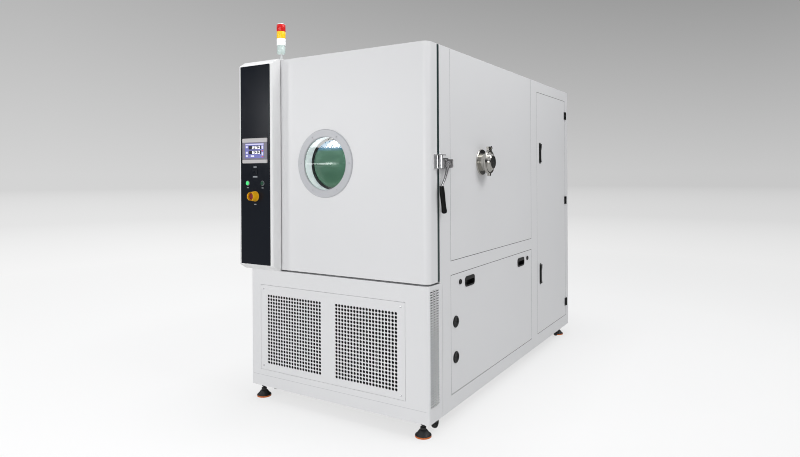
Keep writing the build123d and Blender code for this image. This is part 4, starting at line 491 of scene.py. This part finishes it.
MATERIALS = {
    PAINT: ("base_front_casing", "side_skins", "side_panels", "roof_panel", "rear_panel", "door_shell",
            "door_frame", "front_grille"),
    CONSOLE_PAINT: ("console_housing",),
    INNER_PAINT: ("electrical_cabinet",),
    FRAME_PAINT: ("base_frame",),
    STEEL: ("workroom_liner", "air_baffle", "shelving", "door_liner"),
    PORT_STEEL: ("test_port", "port_wing_nut"),
    BRIGHT: ("latch_keeper",),
    CAST: ("latch_base", "latch_lever"),
    FINS: ("coil_and_heaters", "circulation_fan"),
    CONDENSER_WITH_SHADE: ("condenser",),
    COPPER: ("refrigerant_pipes",),
    MOTOR: ("fan_motor",),
    BLACK: ("panel_fittings", "panel_lock_front", "panel_lock_rear", "swing_handle_upper",
            "swing_handle_lower", "condenser_fan_left", "condenser_fan_right"),
    BLACK_STEEL: ("cabinet_hinges", "door_hinges", "castor_mounts", "castor_fork_left", "castor_fork_right"),
    GRIP: ("latch_grip",),
    RUBBER: ("castor_wheel_front_left", "castor_wheel_front_right", "castor_wheel_rear_left",
             "castor_wheel_rear_right"),
    FOAM: ("insulation", "door_core"),
    COMPRESSOR: ("compressors",),
    YELLOW: ("estop_guard",),
    RED: ("estop_button",),
    SILICONE: ("door_gasket",),
    fascia_material(): ("console_fascia",),
    bezel_material(): ("hmi_bezel",),
    foot_material(): ("levelling_feet",),
    side_door_material(): ("electrical_door",),
    lens_material(): ("tower_lenses",),
    tower_material(): ("tower_body",),
    window_material(): ("window_rings",),
    glass_material(): ("window_glass",),
    lamp_glass_material(): ("workroom_lamp",),
    button_material("start_green", srgb(70, 214, 120), 0.5): ("start_button",),
    button_material("stop_green", srgb(14, 70, 48), 0.0): ("stop_button",),
    screen_material(): ("hmi_screen",),
}


def dress(thing, maker):
    """Puts one material on every slot of an object."""
    if not thing.data.materials:
        thing.data.materials.append(maker.material)
    for slot in thing.material_slots:
        slot.material = maker.material


for maker, names in MATERIALS.items():
    for name in names:
        dress(NODES[name], maker)


# Mesh pieces
def add_object(name, data):
    """Object of some data, linked to the scene."""
    thing = bpy.data.objects.new(name, data)
    bpy.context.scene.collection.objects.link(thing)
    return thing


def piece(name, mesh, maker, body, smooth=False):
    """Object from a bmesh, dressed and riding on a body."""
    data = bpy.data.meshes.new(name)
    mesh.to_mesh(data)
    mesh.free()
    thing = add_object(name, data)
    data.materials.append(maker.material)
    for polygon in data.polygons:
        polygon.use_smooth = smooth
    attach(thing, body)
    return thing


BOX_FACES = ((0, 1, 3, 2), (4, 6, 7, 5), (0, 4, 5, 1), (2, 3, 7, 6), (0, 2, 6, 4), (1, 5, 7, 3))
TURNING_AXES = {
    "z": (Vector((1, 0, 0)), Vector((0, 1, 0)), Vector((0, 0, 1))),
    "-y": (Vector((1, 0, 0)), Vector((0, 0, 1)), Vector((0, -1, 0))),
}


def add_box(mesh, low, high):
    """Box between two places of the part."""
    a, b = at(*low), at(*high)
    points = [mesh.verts.new((x, y, z)) for x in (a.x, b.x) for y in (a.y, b.y) for z in (a.z, b.z)]
    for face in BOX_FACES:
        mesh.faces.new([points[i] for i in face])


def add_turned(mesh, centre, axis, profile, segments=24):
    """Turned shape: profile is (radius, distance along the axis), closed at both ends."""
    side, up, along = TURNING_AXES[axis]
    rings = []
    for radius, distance in profile:
        ring = []
        for i in range(segments):
            turn = 2 * pi * i / segments
            offset = (side * cos(turn) + up * sin(turn)) * radius + along * distance
            ring.append(mesh.verts.new(at(*centre) + offset / 1000))
        rings.append(ring)
    for low, high in zip(rings, rings[1:]):
        for i in range(segments):
            j = (i + 1) % segments
            mesh.faces.new((low[i], low[j], high[j], high[i]))
    mesh.faces.new(rings[-1])
    mesh.faces.new(list(reversed(rings[0])))


# Perforated grille in the base
def cell_lines(start, pitch, count):
    """Edges of a row of cells whose first hole is centred at the start."""
    return [start + (i - 0.5) * pitch for i in range(count + 1)]


def hole_cell(mesh, cell, x, z):
    """One cell of sheet round a hole, as four faces between the cell's corners and the hole's edge."""
    ring = []
    for i in range(HOLE_SIDES):
        turn = radians(225 + i * 360 / HOLE_SIDES)
        ring.append(mesh.verts.new(at(x + HOLE_RADIUS * cos(turn), 0, z + HOLE_RADIUS * sin(turn))))
    step = HOLE_SIDES // 4
    for side in range(4):
        edge = [ring[(side * step + i) % HOLE_SIDES] for i in range(step + 1)]
        mesh.faces.new([cell[side], cell[(side + 1) % 4]] + list(reversed(edge)))


def grille_sheet(mesh, xs, zs, starts):
    """Front of the grille, with a hole in each cell of the fields; gives its grid of corners."""
    grid = [[mesh.verts.new(at(x, 0, z)) for z in zs] for x in xs]
    for i in range(len(xs) - 1):
        for j in range(len(zs) - 1):
            cell = (grid[i][j], grid[i + 1][j], grid[i + 1][j + 1], grid[i][j + 1])
            if 1 <= j <= HOLE_ROWS and any(first <= i < first + HOLE_COLUMNS for first in starts):
                hole_cell(mesh, cell, (xs[i] + xs[i + 1]) / 2, (zs[j] + zs[j + 1]) / 2)
            else:
                mesh.faces.new(cell)
    return grid


def grille_folds(mesh, grid, rim):
    """Four folds, from the edges of the grid back to the rim's corners."""
    lower = [column[0] for column in grid]
    right = list(grid[-1])
    upper = [column[-1] for column in reversed(grid)]
    left = list(reversed(grid[0]))
    for side, edge in enumerate((lower, right, upper, left)):
        mesh.faces.new([rim[side], rim[(side + 1) % 4]] + list(reversed(edge)))


def grille_screws():
    mesh = bmesh.new()
    for x, z in GRILLE_SCREWS:
        add_turned(mesh, (x, 0, z), "-y", [(5.5, -1), (5.5, 1.2), (3.8, 2.4)], 16)
        add_box(mesh, (x - 3, -2.8, z - 0.6), (x + 3, -2.2, z + 0.6))
    piece("grille_screws", mesh, BRIGHT, "cabinet", smooth=True)


def front_grille():
    """Grille panel: perforated sheet with its edge folded back, where the plain tray stands."""
    (x0, _, z0), (x1, fold, z1) = corners("front_grille")
    xs, starts = [x0], []
    for start, pitch in FIELDS:
        starts.append(len(xs))
        xs += cell_lines(start, pitch, HOLE_COLUMNS)
    xs.append(x1)
    zs = [z0] + cell_lines(ROW_START, ROW_PITCH, HOLE_ROWS) + [z1]
    mesh = bmesh.new()
    grid = grille_sheet(mesh, xs, zs, starts)
    rim = [mesh.verts.new(at(x, fold, z)) for x, z in ((x0, z0), (x1, z0), (x1, z1), (x0, z1))]
    grille_folds(mesh, grid, rim)
    bmesh.ops.recalc_face_normals(mesh, faces=mesh.faces)
    thing = piece("grille_panel", mesh, PAINT, "cabinet")
    sheet = thing.modifiers.new("sheet", "SOLIDIFY")
    sheet.thickness = GRILLE_SHEET / 1000
    sheet.offset = -1
    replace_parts(thing, "front_grille")


# Sheet details of the cabinet
def base_crease():
    """Faint crease across the base, below the grille, drawn as a strip of painted shade."""
    half = RIGHT - CREASE_INSET
    mesh = bmesh.new()
    add_box(mesh, (-half, -0.25, CREASE_Z[0]), (half, 0.2, CREASE_Z[1]))
    # Painted shade: the crease is a darker grey strip on the sheet.
    piece("base_crease", mesh, painted("crease_painted_shade", srgb(186, 186, 189)), "cabinet")


def vent_ribs():
    """Ribs that part each side vent into three columns."""
    mesh = bmesh.new()
    for side in (-1, 1):
        x0, x1 = sorted((side * RIGHT, side * (RIGHT - 2)))
        for y in RIB_PLACES:
            add_box(mesh, (x0, y - RIB_WIDTH / 2, RIB_HEIGHTS[0]), (x1, y + RIB_WIDTH / 2, RIB_HEIGHTS[1]))
    piece("vent_ribs", mesh, PAINT, "cabinet")


def vent_shade_sheet(name, front, back, level):
    """Sheet behind both side vents, painted shade for the dark inside seen through the slots."""
    mesh = bmesh.new()
    for side in (-1, 1):
        x0, x1 = sorted(side * (RIGHT - inset) for inset in SHADE_SHEET_INSET)
        add_box(mesh, (x0, front, SHADE_SHEET_HEIGHTS[0]), (x1, back, SHADE_SHEET_HEIGHTS[1]))
    maker = plastic(name, grey(level), 0.7, 0.9, amount=0.2, grain=300, bump=0.4)
    piece(name, mesh, maker, "cabinet")


def panel_joint_shade():
    """Dark strips in the joints round the side panels and the electrical door: painted shade in the gaps,
    darker in the level joints than in the upright ones.
    """
    level, upright = bmesh.new(), bmesh.new()
    for side in (-1, 1):
        x0, x1 = sorted((side * (RIGHT - JOINT_DEPTH), side * (RIGHT + JOINT_PROUD)))
        for y0, y1, z0, z1 in (LOWER_PANEL, UPPER_PANEL, CABLE_DOOR):
            for z in (z0, z1) if z1 < UPPER_PANEL[3] else (z0,):
                add_box(level, (x0, y0 - 1, z - LEVEL_JOINT_HALF), (x1, y1 + 1, z + LEVEL_JOINT_HALF))
            for y in (y0, y1):
                add_box(upright, (x0, y - UPRIGHT_JOINT_HALF, z0),
                        (x1, y + UPRIGHT_JOINT_HALF, min(z1, TOP - 3)))
    # Painted shade: near black in the level joints, a lighter grey in the upright ones.
    black = plastic("joint_shade_dark", srgb(30, 30, 32), 0.6, 0.8)
    shaded = plastic("joint_shade_grey", srgb(120, 120, 124), 0.6, 0.8)
    piece("level_joint_shade", level, black, "cabinet")
    piece("upright_joint_shade", upright, shaded, "cabinet")


# Display: header, two readouts, value digits and touch keys
STROKES = {"0": "abcdef", "2": "abged", "5": "afgcd", "6": "afgedc"}


def digit_boxes(mesh, text, x, z, width, height, depth):
    """Seven-stroke figures, their left lower corner at x, z."""
    t = height * STROKE_SHARE
    for symbol in text:
        if symbol == ".":
            add_box(mesh, (x, depth, z), (x + t, depth + 0.25, z + t))
            x += POINT_ADVANCE * t
            continue
        half = z + height / 2
        places = {"a": (x, z + height - t, x + width, z + height), "d": (x, z, x + width, z + t),
                  "g": (x, half - t / 2, x + width, half + t / 2),
                  "f": (x, half, x + t, z + height), "e": (x, z, x + t, half),
                  "b": (x + width - t, half, x + width, z + height), "c": (x + width - t, z, x + width, half)}
        for key in STROKES[symbol]:
            x0, z0, x1, z1 = places[key]
            add_box(mesh, (x0, depth, z0), (x1, depth + 0.25, z1))
        x += width * DIGIT_ADVANCE


def display():
    layers = (("display_header", srgb(206, 206, 232), [HEADER_BOX]),
              ("display_field", srgb(112, 112, 176), [FIELD_BOX]),
              ("display_readouts", srgb(26, 28, 38), READOUT_BOXES),
              ("display_keys", srgb(214, 214, 232), KEY_BOXES),
              ("display_marks", srgb(214, 92, 74), MARK_BOXES))
    for index, (name, colour, boxes) in enumerate(layers):
        mesh = bmesh.new()
        face = SCREEN_FACE - LAYER_PROUD - LAYER_STEP * index
        for x0, z0, x1, z1 in boxes:
            add_box(mesh, (SCREEN_LEFT + x0, face, SCREEN_BOTTOM + z0),
                    (SCREEN_LEFT + x1, SCREEN_FACE + 0.1, SCREEN_BOTTOM + z1))
        maker = plastic(name, colour, 0.15, 0.25, amount=0.05).light(colour, 0.3)
        piece(name, mesh, maker, "door")
    digits = bmesh.new()
    for text, rise, height in READOUTS:
        digit_boxes(digits, text, SCREEN_LEFT + DIGIT_LEFT, SCREEN_BOTTOM + rise, DIGIT_WIDTH, height,
                    SCREEN_FACE - DIGIT_PROUD)
    white = srgb(250, 250, 255)
    maker = plastic("display_white", white, 0.2, 0.3, amount=0.04).light(white, 0.8)
    piece("display_digits", digits, maker, "door")


def fascia_plates():
    """Small label plates on the fascia, left blank."""
    mesh = bmesh.new()
    for offset, z, width, height in PLATES:
        x = FASCIA_X + offset
        add_box(mesh, (x - width / 2, FASCIA_FACE - 0.6, z - height / 2),
                (x + width / 2, FASCIA_FACE + 0.2, z + height / 2))
    piece("fascia_plates", mesh, plastic("plate_grey", srgb(150, 155, 162), 0.3, 0.4), "door")


# Tower light: foot, pole and drum, three lenses and a cap
def turned_piece(name, profiles, maker, node):
    """Turned shapes on the tower's axis, which stand for a node."""
    mesh = bmesh.new()
    for profile in profiles:
        add_turned(mesh, (TOWER_X, TOWER_Y, 0), "z", profile, 32)
    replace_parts(piece(name, mesh, maker, "door", smooth=True), node)


def tower():
    r, cap = TOWER_RADIUS, LENS_BOTTOM + LENSES * LENS_STEP
    foot_and_pole = [(r + 5, TOP), (r + 5, TOP + 6), (r - 8, TOP + 11), (13, TOP + 20),
                     (POLE_RADIUS, TOP + 20), (POLE_RADIUS, DRUM_BOTTOM + 1)]
    drum = [(15, DRUM_BOTTOM), (r - 2, DRUM_BOTTOM + 7), (r - 2, LENS_BOTTOM)]
    lid = [(r - 1, cap), (r - 1, cap + 2), (r - 8, cap + 6.5)]
    turned_piece("slim_tower_body", (foot_and_pole, drum, lid), tower_material(), "tower_body")
    lenses = []
    for index in range(LENSES):
        z = LENS_BOTTOM + index * LENS_STEP
        lenses.append([(r - 1.5, z + 0.3), (r, z + 2), (r, z + 41), (r - 1.5, z + 42.7)])
    turned_piece("slim_tower_lenses", lenses, lens_material(), "tower_lenses")


# Window in the door
def front_pane():
    """Clear pane, flush with the flange; the lamps shine through it."""
    mesh = bmesh.new()
    add_turned(mesh, (WINDOW_X, FRONT_PANE_Y, WINDOW_Z), "-y",
               [(FRONT_PANE_RADIUS, -FRONT_PANE_THICK), (FRONT_PANE_RADIUS, 0)], 64)
    pane = piece("front_pane", mesh, clear_glass_material(), "door")
    pane.visible_shadow = False


def window_screws():
    mesh = bmesh.new()
    for index in range(WINDOW_SCREWS):
        turn = radians(index * 360 / WINDOW_SCREWS)
        place = (WINDOW_X + SCREW_CIRCLE * cos(turn), FLANGE_FACE, WINDOW_Z + SCREW_CIRCLE * sin(turn))
        add_turned(mesh, place, "-y", [(4.5, -1), (4.5, 0.6), (3, 1.6)], 16)
    maker = plastic("screw_black_zinc", srgb(92, 92, 96), 0.3, 0.4)
    piece("window_screws", mesh, maker, "door", smooth=True)


front_grille()
grille_screws()
base_crease()
vent_ribs()
# Painted shade behind the vents: near black behind the front column, mid grey behind the others.
vent_shade_sheet("vent_shade_dark", SHADE_SHEET_FRONT, SHADE_SHEET_MIDDLE, 6)
vent_shade_sheet("vent_shade_grey", SHADE_SHEET_MIDDLE, SHADE_SHEET_BACK, 96)
panel_joint_shade()
display()
fascia_plates()
tower()
front_pane()
window_screws()

# Camera, set from the photograph's vanishing points
CAMERA_PLACE = (2143.9, -2731.35, 1391.4)
CAMERA_ROLL = 0.297
CAMERA_TURN = 31.614
LENS_LENGTH = 27.104
SENSOR_WIDTH = 36
CAMERA_SHIFT = -0.0692


def camera():
    data = bpy.data.cameras.new("camera")
    data.lens = LENS_LENGTH
    data.sensor_width = SENSOR_WIDTH
    data.shift_y = CAMERA_SHIFT
    data.clip_end = 200
    thing = add_object("camera", data)
    thing.location = at(*CAMERA_PLACE)
    thing.rotation_mode = "XYZ"
    thing.rotation_euler = (radians(90), radians(CAMERA_ROLL), radians(CAMERA_TURN))
    bpy.context.scene.camera = thing


# Floor and backdrop: levels of grey on the left and on the right, at shares of the way to the far distance;
# the grey is painted shade, darker further out and towards the right
ACROSS = (0.852, 0.524)
FLOOR_RADIUS = 90
FAR = 60
LEVEL_PLACES = (0, 0.05, 0.11, 0.27, 1)
LEFT_LEVELS = (249, 253, 246, 229, 212)
RIGHT_LEVELS = (241, 243, 235, 217, 200)
NEAR_EDGE, FAR_EDGE = 2.0, 7.0
NEAR_GLOW = 0.72
BOUNCE = 0.55


def floor_material():
    """White paper with painted shade, darker further out and towards the right; it glows in part and takes
    shadows near the part.
    """
    m = Maker("floor_paper")
    length = m.node("ShaderNodeVectorMath", operation="LENGTH")
    m.link(m.coords, length.inputs[0])
    distance = length.outputs["Value"]
    share = m.math("MULTIPLY", distance, 1 / FAR)
    # Painted shade: the grey levels fall with distance, and lower on the right than on the left.
    sides = [m.ramp(share, [(place, grey(level)) for place, level in zip(LEVEL_PLACES, levels)])
             for levels in (LEFT_LEVELS, RIGHT_LEVELS)]
    across_x, across_y = [m.math("MULTIPLY", m.axes[axis], part) for axis, part in zip("xy", ACROSS)]
    across = m.math("ADD", across_x, across_y)
    turn = m.math("ADD", m.math("DIVIDE", across, m.math("ADD", distance, 1.5)), 0.5)
    paper = m.mix(turn, *sides)
    m.paint(paper)
    m.set(Roughness=0.9, Specular_IOR_Level=0.1)
    emission = m.node("ShaderNodeEmission")
    m.link(paper, emission.inputs["Color"])
    seen = m.node("ShaderNodeLightPath").outputs["Is Camera Ray"]
    m.link(m.scaled(seen, 0, 1, BOUNCE), emission.inputs["Strength"])
    glow = m.scaled(distance, NEAR_EDGE, FAR_EDGE, NEAR_GLOW)
    output = next(n for n in m.tree.nodes if n.type == "OUTPUT_MATERIAL")
    m.link(m.mix_shaders(glow, m.shader.outputs[0], emission.outputs[0]), output.inputs["Surface"])
    return m


def stage():
    mesh = bmesh.new()
    bmesh.ops.create_circle(mesh, cap_ends=True, segments=96, radius=FLOOR_RADIUS)
    data = bpy.data.meshes.new("floor")
    mesh.to_mesh(data)
    mesh.free()
    data.materials.append(floor_material().material)
    add_object("floor", data)


# Sky, as grey levels at the horizon and above, on the left and on the right: painted shade of the backdrop,
# darker upward and towards the right
SKY_LEFT, SKY_RIGHT = (212, 176), (200, 142)
SKY_TOP = 0.3

# Light from all round, and the studio that glossy surfaces reflect, as (height, colour)
AMBIENT = 0.45
AMBIENT_COLOUR = (0.95, 0.97, 1, 1)
STUDIO = ((0.2, (0.03, 0.032, 0.036, 1)), (0.42, (0.8, 0.81, 0.84, 1)), (1, (0.5, 0.5, 0.52, 1)))


def world():
    made = bpy.data.worlds.new("studio")
    bpy.context.scene.world = made
    made.use_nodes = True
    made.node_tree.nodes.clear()
    w = Tree(made.node_tree)
    direction = w.node("ShaderNodeTexCoord").outputs["Generated"]
    split = w.node("ShaderNodeSeparateXYZ")
    w.link(direction, split.inputs[0])
    up = split.outputs["Z"]
    across = w.node("ShaderNodeVectorMath", operation="DOT_PRODUCT")
    w.link(direction, across.inputs[0])
    across.inputs[1].default_value = (*ACROSS, 0)
    height = w.scaled(up, 0, SKY_TOP)
    sides = [w.ramp(height, [(0, grey(low)), (1, grey(high))]) for low, high in (SKY_LEFT, SKY_RIGHT)]
    sky, ambient, studio = [w.node("ShaderNodeBackground") for _ in range(3)]
    w.link(w.mix(w.scaled(across.outputs["Value"], -0.5, 0.5), *sides), sky.inputs["Color"])
    ambient.inputs["Color"].default_value = AMBIENT_COLOUR
    ambient.inputs["Strength"].default_value = AMBIENT
    w.link(w.ramp(up, STUDIO), studio.inputs["Color"])
    path = w.node("ShaderNodeLightPath").outputs
    seen = w.math("MAXIMUM", path["Is Camera Ray"], path["Is Transmission Ray"])
    plain = w.mix_shaders(seen, ambient.outputs[0], sky.outputs[0])
    whole = w.mix_shaders(path["Is Glossy Ray"], plain, studio.outputs[0])
    w.link(whole, w.node("ShaderNodeOutputWorld").inputs["Surface"])


# Lamps: places and sizes in metres, power in watts
LAMPS = {
    "key": dict(place=(-4.8, -7.19, 2.37), aim=(0, -1.18, 2.37), size=(1.1, 1.0), power=74),
    "strip": dict(place=(-5.02, -7.19, 1.576), aim=(-5.02, 0, 1.576), size=(0.62, 0.03), power=0.45),
    "front": dict(place=(1.4, -7.5, 1.7), aim=(0.2, -1.18, 1.5), size=(4.0, 1.4), power=156),
    "fill": dict(place=(3.4, -0.3, 4.9), aim=(0.6, -0.1, 2.0), size=(3.0, 2.4), power=112),
    "overhead": dict(place=(0.0, 0.0, 9.0), aim=(0, 0, 0), size=(3.0, 3.0), power=300),
}


def lamp(name, place, aim, size, power):
    data = bpy.data.lights.new(name, "AREA")
    data.shape = "RECTANGLE"
    data.size, data.size_y = size
    data.energy = power
    thing = add_object(name, data)
    thing.location = place
    thing.rotation_euler = (Vector(aim) - Vector(place)).to_track_quat("-Z", "Y").to_euler()


camera()
stage()
world()
for name, facts in LAMPS.items():
    lamp(name, **facts)

bpy.context.scene.view_settings.view_transform = "Standard"
bpy.context.scene.cycles.filter_width = 1.0
